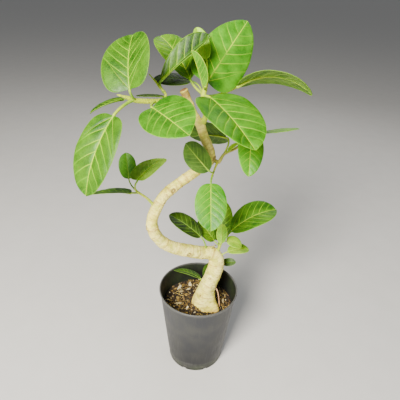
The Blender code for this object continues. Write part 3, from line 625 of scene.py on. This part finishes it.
def mix_grain(name, dark, middle, light, gloss, grit):
    """Potting mix: each bit has its own shade, from its attribute, and a rough broken face with that grit."""
    material, tree, skin, place = new_material(name)
    shade = add(tree, "Attribute", {"attribute_name": "shade"}, output=2)
    rough_face = add(
        tree, "TexNoise", None, {"Vector": place, "Scale": 1 / (grit * MM), "Detail": 5.0, "Roughness": 0.65}
    )
    lower = add(tree, "MapRange", None, {0: shade, LOW: 0.0, HIGH: 0.5})
    upper = add(tree, "MapRange", None, {0: shade, LOW: 0.5, HIGH: 1.0})
    body = add(tree, "Mix", BLEND, {FACTOR: lower, FIRST: linear(dark), SECOND: linear(middle)}, MIXED)
    body = add(tree, "Mix", BLEND, {FACTOR: upper, FIRST: body, SECOND: linear(light)}, MIXED)
    # Painted shade darkens the low spots of each bit's broken face
    pit_shade = add(tree, "MapRange", None, {0: rough_face, LOW: 0.35, HIGH: 0.6, TO_LOW: 0.75, TO_HIGH: 0.0})
    body = add(tree, "Mix", DARKEN, {FACTOR: pit_shade, FIRST: body, SECOND: linear("#6b5a48")}, MIXED)
    tree.links.new(body, skin.inputs["Base Color"])
    skin.inputs["Roughness"].default_value = gloss
    bump = add(tree, "Bump", None, {"Strength": 0.8, "Distance": 0.5 * MM, "Height": rough_face})
    tree.links.new(bump, skin.inputs["Normal"])
    return material


def floor_paint():
    """Matt white studio floor, rolled on, with the faint mottling of a roller."""
    material, tree, skin, place = new_material("white emulsion, rolled on")
    roller = add(tree, "TexNoise", None, {"Vector": place, "Scale": 1 / (60 * MM), "Detail": 2.0})
    paint = add(
        tree, "Mix", BLEND, {FACTOR: roller, FIRST: linear("#cbc9c5"), SECOND: linear("#d3d1cd")}, MIXED
    )
    tree.links.new(paint, skin.inputs["Base Color"])
    skin.inputs["Roughness"].default_value = 0.85
    return material


# The upper faces are glossier and the young ones more yellow; the third pair are darker copies, with dull
# veins, for the leaves that lie in shadow: they are painted shade
LEAF_FINISHES = {
    "leaf_green": (
        leaf_skin("fig leaf, full grown, upper face", "#b0cc14", "#62a408", "#8cb820", 0.38),
        leaf_skin("fig leaf, full grown, under face", "#bcd860", "#86b82c", "#a8cc3c", 0.56, "#7ea63c"),
    ),
    "leaf_young": (
        leaf_skin("fig leaf, young, upper face", "#cce436", "#9cd010", "#c0dc40", 0.38),
        leaf_skin("fig leaf, young, under face", "#b0cc14", "#84b808", "#b4d428", 0.5, "#609804"),
    ),
    # Darker copies for the leaves in shadow: painted shade
    "leaf_shaded": (
        leaf_skin("fig leaf, darkened for painted shade, upper face", "#7c9c2c", "#4c7c10", "#7c9c34", 0.42),
        leaf_skin("fig leaf, darkened for painted shade, under face", "#84a040", "#507818", "#7c9c34", 0.58, "#4c6a24"),
    ),
}
STALK_SKIN = stem_skin(
    "fig leaf stalk, green skin", "#a4bc00", "#6ca000", "#7c8a20", "#746820", 0.36
)
TRUNK_BARK = stem_skin(
    "fig bark, smooth and pale", "#fff78c", "#faea66", "#ac8230", "#77582a", 0.5, 0.75, "#f0dc5a", 0.7
)
GREEN_STEM = stem_skin(
    "young fig stem, green and waxy", "#c4d000", "#9cba00", "#8a8020", "#5c4c1c", 0.36, 0.4
)
BROWN_STEM = stem_skin(
    "fig twig, thin brown bark", "#a8a038", "#80881c", "#70602c", "#4e3e1e", 0.55, 0.6
)
ROOT_SKIN = stem_skin(
    "aerial root, pink-brown skin", "#f0c898", "#d8a470", "#a87c58", "#7a5438", 0.5, 0.5
)
STRAW = stem_skin("dry root and straw, bleached", "#d8bc60", "#a88838", "#806428", "#604820", 0.6, 0.4)


# ---------------------------------------------------------------- leaves

def heading_vector(heading, pitch):
    """The direction of that heading from +X towards +Y, and that pitch up from level, both in degrees."""
    heading, pitch = math.radians(heading), math.radians(pitch)
    flat = math.cos(pitch)
    return Vector((flat * math.cos(heading), flat * math.sin(heading), math.sin(pitch)))


def outline(share, widest):
    """The blade's half width, as a share of its greatest, at a share of its length."""
    bent = share ** (math.log(0.5) / math.log(widest))
    return math.sqrt(max(0, 1 - (2 * bent - 1) ** 2))


class Blade:
    """The surface of one leaf blade: it droops in an arc along its length, and folds and curls across."""

    def __init__(self, base, aim, size, droop, fold, widest, lobe):
        heading, pitch, roll = aim
        self.base = base
        self.length, self.width = size[0] * MM, size[1] * MM
        self.droop, self.fold = math.radians(droop), math.radians(fold)
        self.widest, self.lobe = widest, lobe
        self.forward = heading_vector(heading, pitch)
        side = Vector((math.sin(math.radians(heading)), -math.cos(math.radians(heading)), 0))
        normal = side.cross(self.forward)
        turn = math.radians(roll)
        self.side = math.cos(turn) * side + math.sin(turn) * normal
        self.normal = math.cos(turn) * normal - math.sin(turn) * side

    def reach(self, share, across):
        """How far from the midrib, in metres. The tip draws in to a short point."""
        half = self.width / 2 * outline(share, self.widest) * (1 - 0.2 * share**14)
        return abs(across) * max(half, 1.1 * MM * (1 - share))

    def at(self, share, across):
        """The point at a share of the length and, from -1 to 1, across the width."""
        reach = self.reach(share, across)
        lift = self.fold - BLADE_CURL * reach / self.width
        swept = self.lobe * self.width * (2 * reach / self.width) ** 1.5 * max(0, 1 - share / LOBE_REACH)
        turn = self.droop * (share - swept / self.length)
        along = self.length * math.sin(turn) / self.droop
        down = self.length * (1 - math.cos(turn)) / self.droop
        normal = math.cos(turn) * self.normal + math.sin(turn) * self.forward
        outward = math.copysign(reach * math.cos(lift), across) * self.side
        middle = self.base + along * self.forward - down * self.normal
        return middle + outward + reach * math.sin(lift) * normal


def vein_gap(share, across, reach):
    """How far the nearest vein is, as a share of the blade's length."""
    level = share - SWEEP * reach - SWEEP_MORE * abs(across) ** 3 + math.copysign(VEIN_LAG, across)
    gap = min(reach, abs(share - BASE_VEIN - BASE_SWEEP * reach))
    if level > FIRST_VEIN - VEIN_MARGIN:
        phase = (level - FIRST_VEIN) % VEIN_STEP
        gap = min(gap, phase, VEIN_STEP - phase)
    return gap


def blade_sheet(name, blade, size, green):
    """The blade as an open sheet on its smooth surface, and each point's shares of the length and width."""
    length, width = size
    rows = min(84, max(30, round(length * 0.75)))
    columns = 2 * min(30, max(10, round(width * 0.36)))
    leaf, shape = grid_piece(name, columns, rows)
    skin = shape.loops.layers.uv.active
    midrib = shape.verts.layers.float.new("midrib")
    edge = shape.verts.layers.float.new("edge")
    tint = shape.verts.layers.float_color.new("leaf_colour")
    shares = {}
    for vert in shape.verts:
        # The rows crowd together at the base and the tip, the columns at the edges
        along = (1 - math.cos(math.pi * min(1, max(0, vert.co.y + 0.5)))) / 2
        across = 2 * vert.co.x
        across = math.copysign(math.sin(abs(across) * math.pi / 2) * 0.35 + abs(across) * 0.65, across)
        shares[vert] = (along, across)
    for face in shape.faces:
        for loop in face.loops:
            along = (1 - math.cos(math.pi * (loop.vert.co.y + 0.5))) / 2
            loop[skin].uv = (shares[loop.vert][1] / 2 + 0.5, along)
    for vert, (along, across) in shares.items():
        reach = blade.reach(along, across)
        vert.co = blade.at(along, across)
        vert[midrib] = reach / blade.length
        vert[edge] = (blade.reach(along, 1) - reach) / MM + 40 * smooth_step(along, 0.02, 0)
        vert[tint] = linear(GREENS[green])
    return leaf, shape, shares


def puff_up(shape, shares, size, number):
    """Raises the sheet between its veins and waves its edge, each leaf in its own way."""
    length, width = size
    midrib = shape.verts.layers.float["midrib"]
    wave = WAVE * length
    shape.normal_update()
    for vert, (along, across) in shares.items():
        gap = vein_gap(along, across, vert[midrib])
        puff = PUFF * length * (1 - bell(gap, 0.02)) * smooth_step(1 - abs(across), 0, 0.12)
        puff *= smooth_step(along, 0, 0.08)
        spot = Vector((across, along * length / width * 2, number * 3.7))
        ruffle = wave * across * across * noise.noise(spot * 2.1) * smooth_step(along, 0, 0.1)
        ruffle += 0.4 * wave * noise.noise(spot * 1.1 + Vector((9, 0, 0))) * smooth_step(along, 0, 0.2)
        vert.co += vert.normal * (puff + ruffle) * MM


def stalk_route(root, base, blade, stalk_length, length):
    """The stalk leaves the limb in an arc, and its end runs on under the blade as a tapering midrib."""
    thick = (0.62 + 1.25 * length / 100) * MM
    control = base - blade.forward * stalk_length * MM * 0.4
    steps = max(8, round(stalk_length / 1.6))
    path = []
    for step in range(steps):
        t = step / steps
        place = root.lerp(control, t).lerp(control.lerp(base, t), t)
        swell = 1 + 0.35 * bell(t, 0.12) + 0.18 * smooth_step(t, 0.8, 1)
        path.append((place, thick * (1.06 - 0.16 * t) * swell))
    ribs = max(12, round(length / 3))
    for step in range(ribs):
        t = step / ribs * 0.93
        drop = thick * (0.62 * (1 - t) ** 1.4 + 0.10)
        spread = blade.at(t + 0.002, 0.02) - blade.at(t + 0.002, -0.02)
        forward = blade.at(t + 0.004, 0) - blade.at(t, 0)
        normal = spread.cross(forward).normalized()
        radius = thick * (0.90 * (1 - t) ** 1.3 + 0.10)
        path.append((blade.at(t, 0) - normal * (drop + BLADE_THICKNESS * 0.4), radius))
    return path


def grow_leaf(spec, routes, number):
    """One leaf: a thin blade, puffed up between its veins, on a stalk that runs on under it as the midrib."""
    called, limb, share, stalk, aim, size, droop, fold, widest, lobe, green = spec
    name = "leaf_" + called
    root = point_along(routes[limb], share)
    base = root + heading_vector(stalk[0], stalk[1]) * stalk[2] * MM
    blade = Blade(base, aim, size, droop, fold, widest, lobe)
    leaf, shape, shares = blade_sheet(name, blade, size, green)
    puff_up(shape, shares, size, number)
    bmesh.ops.remove_doubles(shape, verts=shape.verts, dist=1e-6)
    shape.to_mesh(leaf.data)
    shape.free()
    # Leaves in shadow take the darker finishes, which paint that shade
    slot = "leaf_green"
    if called in YOUNG_LEAVES:
        slot = "leaf_young"
    elif called in LEAVES_IN_PAINTED_SHADE:
        slot = "leaf_shaded"
    for finish in LEAF_FINISHES[slot]:
        leaf.data.materials.append(finish)
    applied(leaf, "SOLIDIFY", thickness=BLADE_THICKNESS, offset=-1, material_offset=1, material_offset_rim=0)
    leaf.data.shade_smooth()
    rib = sleeve(name + "_rib", stalk_route(root, base, blade, stalk[2], size[0]), 12)
    rib.data.materials.append(STALK_SKIN)
    return placed(joined(name, [leaf, rib]), slot, name)


# ---------------------------------------------------------------- trunk and twigs

def joint_places(seed, length, shortest, longest):
    """Where leaves once joined a limb, at uneven steps: each one's place along it in mm, its heading and how
    strong its ring is."""
    draw = random.Random(seed)
    places, at = [], shortest
    while at < length:
        places.append((at, draw.uniform(0, 2 * math.pi), draw.uniform(0.25, 1.3)))
        at += draw.uniform(shortest, longest)
    return places


TRUNK_JOINTS = joint_places(seed=11, length=720, shortest=13, longest=31)


def flare(outward, spot):
    """How far the root flare stands out, in mm: four buttresses that spread into the soil."""
    low = smooth_step(spot.z, 186 * MM, SOIL_EDGE)
    if low == 0:
        return 0
    heading = math.atan2(outward.y, outward.x)
    rise = 0
    for middle, spread, reach in ((-0.55, 0.42, 8.5), (-2.35, 0.5, 5.5), (2.9, 0.5, 6.5), (1.3, 0.5, 6.0)):
        turn = (heading - middle + math.pi) % (2 * math.pi) - math.pi
        rise += reach * bell(turn, spread)
    return rise * low**1.6


def trunk_relief(along, outward, spot):
    """How far the bark rises there, in mm, and how much of a leaf ring and of a branch scar it is."""
    rise = 0.8 * ripple(spot, 22) + 0.5 * ripple(spot, 8, 1) + 0.2 * ripple(spot, 2.6, 2)
    long_folds = Vector((outward.x * 6, outward.y * 6, outward.z * 6 + along / 60))
    rise += 0.32 * noise.noise(long_folds * 1.3)
    ring = 0
    for place, _, strength in TRUNK_JOINTS:
        away = along - place - 1.3 * noise.noise(outward * 2 + Vector((place, 0, 0)))
        if abs(away) < 6:
            ring = max(ring, strength * bell(away, 0.9))
            rise += 0.55 * strength * bell(away, 1.6) - 0.22 * bell(away - 2.6, 1.2)
    scar = 0
    for place, radius in BRANCH_SCARS:
        away = (spot - Vector(place) * MM).length / MM
        away += 0.3 * radius * ripple(spot, 3.5, 9)
        if away < 3 * radius:
            rise += 0.9 * bell(away - radius * 1.15, 0.4 * radius)
            rise -= 0.8 * bell(away, 0.7 * radius)
            scar = max(scar, 0.66 * bell(away - 0.6 * radius, 0.5 * radius))
    rise += flare(outward, spot)
    return rise, min(1, ring), scar


def grow_trunk():
    """The trunk: a pale tube with swellings, ring marks and scars, a flared foot and a sawn, dried top,
    darkened below the cut partly by that drying and partly by painted shade.
    """
    route = smooth_route(TRUNK, 1.35 * MM)
    top, radius = route[-1]
    way = (top - route[-4][0]).normalized()
    # The sawn end has a rounded lip of callus and a dished, cracked face
    lip = ((0.7, 1.03), (1.5, 0.97), (1.9, 0.84), (1.7, 0.68), (1.0, 0.52), (0.5, 0.34), (0.3, 0.16))
    route += [(top + way * lift * MM, radius * share) for lift, share in lip]
    cut_from = len(route) - len(lip)
    length = sum((b[0] - a[0]).length for a, b in zip(route[:cut_from], route[1:cut_from])) / MM

    def relief(along, outward, spot):
        rise, ring, scar = trunk_relief(along, outward, spot)
        if along > length:
            return 0.25 * ripple(spot, 3, 4), 0, 1.0 if along > length + 1.6 else 0.4
        # The last 24 mm below the cut turn towards the scar colour: partly the stub's own drying brown, partly
        # painted shade
        return rise, ring, max(scar, 0.62 * smooth_step(along, length - 24, length - 8))

    trunk = sleeve("trunk", route, 84, relief)
    trunk.data.materials.append(TRUNK_BARK)
    return placed(trunk, "trunk_bark", "trunk")


def grow_twig(name, seed):
    """A thin side twig with a swollen foot, joint rings, small leaf scars and a pointed end bud."""
    points = TWIGS[name]
    route = smooth_route(points, 0.9 * MM)
    length = sum((b[0] - a[0]).length for a, b in zip(route, route[1:])) / MM
    shortest, longest = (14, 22) if name == "aerial_root" else (5, 11)
    joints = joint_places(seed, length, shortest, longest)
    woody = name in ("right_twig", "dead_twig", "aerial_root")
    end, radius = route[-1]
    way = (end - route[-3][0]).normalized()
    if name not in ("dead_twig", "aerial_root"):
        # Two scales wrap the bud and draw in to a point
        bud = ((1.0, 1.12), (2.0, 1.18), (3.0, 1.05), (4.2, 0.78), (5.4, 0.45), (6.4, 0.12))
        route += [(end + way * lift * radius / 1.2, radius * share) for lift, share in bud]

    def relief(along, outward, spot):
        rise = (0.16 if woody else 0.1) * ripple(spot, 3.2, seed) + 0.12 * ripple(spot, 9, seed + 1)
        ring = 0
        for place, _, strength in joints:
            away = along - place - 0.4 * noise.noise(outward * 2 + Vector((place, seed, 0)))
            if abs(away) < 3:
                ring = max(ring, strength * bell(away, 0.5))
                rise += 0.26 * strength * bell(away, 0.8)
        return rise, min(1, ring), 0.7 if name == "dead_twig" and along > length - 2 else 0

    twig = sleeve(name, route, 18, relief)
    skins = {"aerial_root": ROOT_SKIN, "right_twig": BROWN_STEM, "dead_twig": BROWN_STEM}
    twig.data.materials.append(skins.get(name, GREEN_STEM))
    return placed(twig, "woody_twig" if woody else "green_twig", name)


# ---------------------------------------------------------------- pot

def wall_radius(height):
    """The outer radius of the pot's tapered wall."""
    widening, rise = BODY_TOP_RADIUS - BODY_FOOT_RADIUS, height - FOOT_HEIGHT
    return BODY_FOOT_RADIUS + widening * rise / (BODY_TOP - FOOT_HEIGHT)


def arc(middle, radius, start, end, count):
    """Points on an arc in the profile's plane, angles in degrees from straight out."""
    steps = [math.radians(start + (end - start) * index / count) for index in range(count + 1)]
    return [(middle[0] + radius * math.cos(turn), middle[1] + radius * math.sin(turn)) for turn in steps]


def pot_profile():
    """The pot's outline from the middle of its underside, up outside, over the rim and down inside."""
    outer = [(3 * MM, 2 * MM), (26 * MM, 2 * MM)]
    outer += [(27 * MM, 1.6 * MM), (49 * MM, 1.6 * MM), (50 * MM, 0.3 * MM)]
    outer += arc((FOOT_RADIUS - 1 * MM, 1 * MM), 1 * MM, -90, 0, 5)
    outer += [(FOOT_RADIUS + 0.5 * MM, 8 * MM), (FOOT_RADIUS + 0.9 * MM, FOOT_HEIGHT - 2.2 * MM)]
    outer += arc((BODY_FOOT_RADIUS - 0.9 * MM, FOOT_HEIGHT), 0.9 * MM, -75, 0, 4)
    outer += [(wall_radius(z * MM), z * MM) for z in range(26, 160, 8)]
    outer += [(wall_radius(162 * MM), 162 * MM), (BODY_TOP_RADIUS - 0.1 * MM, 165.5 * MM)]
    outer += [(BODY_TOP_RADIUS + 0.6 * MM, 166.8 * MM), (RIM_RADIUS - 0.7 * MM, 167.6 * MM)]
    lip = (RIM_RADIUS - LIP_RADIUS, POT_HEIGHT - LIP_RADIUS)
    outer += arc(lip, LIP_RADIUS, -25, 180, 12)
    inner = [(wall_radius(z * MM) - WALL, z * MM) for z in (168, 164, 156, 148, 140, 132, 120, 90, 60, 30)]
    inner += [(BODY_FOOT_RADIUS - WALL, 24 * MM), (FOOT_RADIUS - WALL, 19 * MM), (FOOT_RADIUS - WALL, 6 * MM)]
    inner += [(FOOT_RADIUS - WALL - 1.5 * MM, FLOOR_TOP), (4 * MM, FLOOR_TOP)]
    return outer + inner


def cutter_block(size, out, turn):
    """A block of that size in mm, its middle that far out in mm and turned round the pot by that angle."""
    only()
    bpy.ops.mesh.primitive_cube_add(size=1, location=(0, 0, 0))
    block = bpy.context.object
    block.data.transform(Matrix.Diagonal((*[side * MM for side in size], 1)))
    block.data.transform(Matrix.Translation((out * MM, 0, 0)))
    block.data.transform(Matrix.Rotation(turn, 4, "Z"))
    return block


def mould_pot():
    """The pot: one thin moulded shell with a rolled rim over a shallow band, a tapered wall, a stepped foot,
    a raised floor, drain slots that break the bottom edge, and a hole further in beside each slot."""
    pot = turned("pot", POT_SIDES, pot_profile())
    cutters = []
    for index in range(DRAINS):
        turn = math.radians((index + 0.5) * 360 / DRAINS)
        slot = cutter_block((22, 7, 6), 53, turn)
        applied(slot, "BEVEL", width=0.8 * MM, segments=2)
        cutters += [slot, cutter_block((11, 7, 30), 36.5, turn)]
    cutter = joined("drain_cutter", cutters)
    applied(pot, "BOOLEAN", object=cutter, operation="DIFFERENCE", solver="EXACT", use_self=True)
    bpy.data.objects.remove(cutter)
    # The thin wall isn't perfectly round: it gives a little where it was squeezed and stacked
    for vert in pot.data.vertices:
        give = 0.5 * MM * smooth_step(vert.co.z, 30 * MM, 160 * MM)
        heading = math.atan2(vert.co.y, vert.co.x)
        flat = Vector((vert.co.x, vert.co.y, 0))
        if flat.length > 30 * MM:
            vert.co -= flat.normalized() * give * (0.5 + 0.5 * math.cos(2 * heading + 0.7))
    only(pot)
    bpy.ops.object.shade_smooth_by_angle(angle=math.radians(38))
    pot.data.materials.append(pot_plastic())
    return placed(pot, "pot_plastic", "pot")


# ---------------------------------------------------------------- soil

def from_foot(x, y):
    """How far a spot on the soil is from the middle of the trunk's foot, in metres."""
    return math.hypot(x - FOOT_SPOT[0], y - FOOT_SPOT[1])


def mound(x, y, middle, radius):
    """1 in the middle of a mound on the soil, falling evenly to almost 0 at twice its radius."""
    return math.exp(-((x - middle[0]) ** 2 + (y - middle[1]) ** 2) / radius**2)


def soil_height(x, y):
    """The top of the potting mix, in metres: a low uneven mound with a heap, drawn up round the trunk."""
    out = math.hypot(x, y) / (67 * MM)
    place = Vector((x, y, 0))
    near = mound(x, y, FOOT_SPOT, 30 * MM)
    level = SOIL_CROWN + (SOIL_EDGE - SOIL_CROWN) * out**2 + HEAP_HEIGHT * mound(x, y, HEAP_SPOT, HEAP_RADIUS)
    return level + (1.6 * ripple(place, 19, 5) + 0.9 * ripple(place, 6.5, 6) + 2.4 * near - 1.2) * MM


def lay_soil():
    """The body of the potting mix under the loose bits: dark, damp and crumbly."""
    foot = FOOT_RADIUS - WALL
    inside = wall_radius(SOIL_EDGE) - WALL - SOIL_GAP
    rings = 46
    profile = [(40 * MM, 5 * MM), (foot - 1.8 * MM, 5 * MM), (foot - 0.3 * MM, 19 * MM)]
    profile += [(wall_radius(z * MM) - WALL - SOIL_GAP, z * MM) for z in (27, 60, 90, 120)]
    profile += [(inside * (1 - index / rings), SOIL_EDGE) for index in range(rings)]
    soil = turned("soil", 150, profile)
    shade = soil.data.attributes.new("shade", "FLOAT", "POINT")
    for index, vert in enumerate(soil.data.vertices):
        shade.data[index].value = 0.3 + 0.3 * ripple(vert.co, 5, 3)
        if vert.co.z > SOIL_EDGE - 1 * MM:
            crumbs = 0.9 * ripple(vert.co, 2.6, 7) + 0.6 * ripple(vert.co, 1.5, 8)
            vert.co.z = soil_height(vert.co.x, vert.co.y) + crumbs * MM
    soil.data.shade_smooth()
    soil.data.materials.append(mix_grain("peat and loam, damp", "#1c140c", "#33261a", "#54402a", 0.9, 1.2))
    return placed(soil, "potting_mix", "soil")


def loose_bit(name, seed, roughen):
    """One small broken lump, a few dozen faces, about 1 m across, to be copied and sized."""
    only()
    bpy.ops.mesh.primitive_cube_add(size=1, location=(0, 0, 0))
    bit = bpy.context.object
    bit.name = name
    bpy.ops.object.mode_set(mode="EDIT")
    bpy.ops.mesh.select_all(action="SELECT")
    bpy.ops.mesh.subdivide(number_cuts=1, smoothness=0.75)
    bpy.ops.object.mode_set(mode="OBJECT")
    draw = random.Random(seed)
    for vert in bit.data.vertices:
        vert.co += Vector([draw.uniform(-roughen, roughen) for _ in range(3)])
    bit.data.attributes.new("shade", "FLOAT", "POINT")
    return bit


def scatter(name, moulds, count, seed, sizes, shades, skin, sink=0.3, clear=23 * MM, reach=64 * MM, tilt=0.5):
    """Copies of the moulds that lie on the soil, clear of the trunk and the wall, each with its own size,
    turn and shade. sizes are the least and most length, width and height in mm, and sink is how deep a bit
    lies, as a share of its height."""
    draw = random.Random(seed)
    copies = []
    while len(copies) < count:
        out, heading = reach * math.sqrt(draw.random()), draw.uniform(0, 2 * math.pi)
        x, y = out * math.cos(heading), out * math.sin(heading)
        size = Vector([draw.uniform(*span) * MM for span in sizes])
        turn = Euler((draw.gauss(0, tilt), draw.gauss(0, tilt), draw.uniform(0, 2 * math.pi)))
        shade, mould = draw.uniform(*shades), draw.choice(moulds)
        if from_foot(x, y) < clear:
            continue
        lift = soil_height(x, y) + size.z * (0.5 - sink)
        copy = bpy.data.objects.new(name, mould.data.copy())
        bpy.context.collection.objects.link(copy)
        copy.data.transform(Matrix.LocRotScale(Vector((x, y, lift)), turn, size))
        copy.data.attributes["shade"].data.foreach_set("value", [shade] * len(copy.data.vertices))
        copies.append(copy)
    bits = joined(name, copies)
    bits.data.materials.clear()
    bits.data.materials.append(skin)
    only(bits)
    bpy.ops.object.shade_smooth_by_angle(angle=math.radians(45))
    return placed(bits, "potting_mix")


def strew_fibres(seed, count):
    """Fine dry roots and straws that lie over the mix."""
    draw = random.Random(seed)
    straws = []
    while len(straws) < count:
        out, heading = 62 * MM * math.sqrt(draw.random()), draw.uniform(0, 2 * math.pi)
        x, y = out * math.cos(heading), out * math.sin(heading)
        way, length, thick = draw.uniform(0, 2 * math.pi), draw.uniform(7, 22), draw.uniform(0.35, 0.9)
        bend = draw.uniform(-0.09, 0.09)
        if from_foot(x, y) < 25 * MM:
            continue
        points = []
        for step in range(6):
            lift = soil_height(x, y) / MM + 1.6 + 0.8 * math.sin(step * 1.3 + way)
            points.append((x / MM, y / MM, lift, thick * (1 - 0.1 * step)))
            x += length / 5 * MM * math.cos(way)
            y += length / 5 * MM * math.sin(way)
            way += bend * 4
        if max(math.hypot(px, py) for px, py, _, _ in points) > 65:
            continue
        if min(from_foot(px * MM, py * MM) for px, py, _, _ in points) < 24 * MM:
            continue
        straws.append(sleeve("straw", smooth_route(points, 1.6 * MM), 6))
    fibres = joined("root_fibres", straws)
    fibres.data.materials.append(STRAW)
    return placed(fibres, "potting_mix")


# ---------------------------------------------------------------- the plant

routes = {"trunk": smooth_route(((16, -10, 98, 38), *TRUNK), 9 * MM)}
for twig_name, twig_points in TWIGS.items():
    routes[twig_name] = smooth_route(twig_points, 5 * MM)

mould_pot()
lay_soil()
grow_trunk()
for number, twig_name in enumerate(TWIGS):
    grow_twig(twig_name, seed=31 + number)
for number, leaf_spec in enumerate(LEAVES):
    grow_leaf(leaf_spec, routes, number)

flat_bits = [loose_bit("bark_bit", seed, 0.13) for seed in (1, 2, 3)]
round_bits = [loose_bit("stone_bit", seed, 0.08) for seed in (4, 5, 6)]
bark_chip = mix_grain("composted pine bark", "#20150a", "#5c4318", "#a88a3e", 0.75, 1.4)
pumice = mix_grain("pumice, crushed", "#8f7c4a", "#c4b27c", "#ece0b4", 0.85, 0.8)
loam = mix_grain("loam crumb, damp", "#150f07", "#33260f", "#6a5426", 0.9, 0.9)
scatter(
    "loam_crumbs", round_bits, 900, 41, ((1.2, 3.4), (1.1, 2.8), (1, 2.4)), (0, 1), loam, clear=20 * MM
)
scatter(
    "bark_chips", flat_bits, 400, 42, ((2.2, 6.5), (1.4, 3.2), (0.8, 1.7)), (0, 1), bark_chip, sink=0.2
)
scatter(
    "pumice_bits", round_bits, 90, 43, ((1.2, 3.6), (1.1, 2.8), (1, 2.2)), (0, 1), pumice, sink=0.15
)
scatter(
    "pale_chips", flat_bits, 16, 44, ((6, 10), (2.6, 4.4), (1.8, 3)), (0.3, 1), pumice, sink=0.05,
    clear=26 * MM, reach=58 * MM,
)
strew_fibres(seed=45, count=60)
for mould in flat_bits + round_bits:
    bpy.data.objects.remove(mould)

# ---------------------------------------------------------------- studio

only()
bpy.ops.mesh.primitive_plane_add(size=200, location=(0, 0, 0))
floor = bpy.context.object
floor.name = "floor"
floor.data.materials.append(floor_paint())

# Lights: name, place and size in metres, power in watts, colour
LIGHTS = (
    ("key_light", (-0.65, -1.35, 1.45), 0.7, 122.0, "#fffaf0"),
    ("fill_light", (1.25, -0.9, 0.9), 1.2, 7.0, "#f6f8ff"),
    ("back_light", (0.3, 1.4, 1.3), 1.0, 7.0, "#ffffff"),
)
LIT_SPOT = Vector((0, 0, 0.3))
for light_name, spot, size, watts, colour in LIGHTS:
    light = bpy.data.lights.new(light_name, "AREA")
    light.size = size
    light.energy = watts
    light.color = linear(colour)[:3]
    lamp = bpy.data.objects.new(light_name, light)
    lamp.location = spot
    lamp.rotation_euler = (LIT_SPOT - Vector(spot)).to_track_quat("-Z", "Y").to_euler()
    bpy.context.scene.collection.objects.link(lamp)
world = bpy.data.worlds.new("studio")
world.use_nodes = True
world.node_tree.nodes["Background"].inputs["Color"].default_value = linear("#e9ecf0")
world.node_tree.nodes["Background"].inputs["Strength"].default_value = 0.26
bpy.context.scene.world = world

# The camera looks down on the pot from the front, a little tipped
CAMERA_PLACE = (-0.0048, -0.567, 0.683)
PITCH, ROLL = math.radians(29.44), math.radians(2.69)
forward = Vector((0, math.cos(PITCH), -math.sin(PITCH)))
level_up = Vector((0, math.sin(PITCH), math.cos(PITCH)))
right = math.cos(ROLL) * Vector((1, 0, 0)) + math.sin(ROLL) * level_up
up = -math.sin(ROLL) * Vector((1, 0, 0)) + math.cos(ROLL) * level_up
lens = bpy.data.cameras.new("camera")
lens.lens = 35
lens.sensor_width = 36
camera = bpy.data.objects.new("camera", lens)
camera.matrix_world = Matrix.Translation(CAMERA_PLACE) @ Matrix((right, up, -forward)).transposed().to_4x4()
bpy.context.scene.collection.objects.link(camera)
bpy.context.scene.camera = camera

bpy.context.view_layer.update()
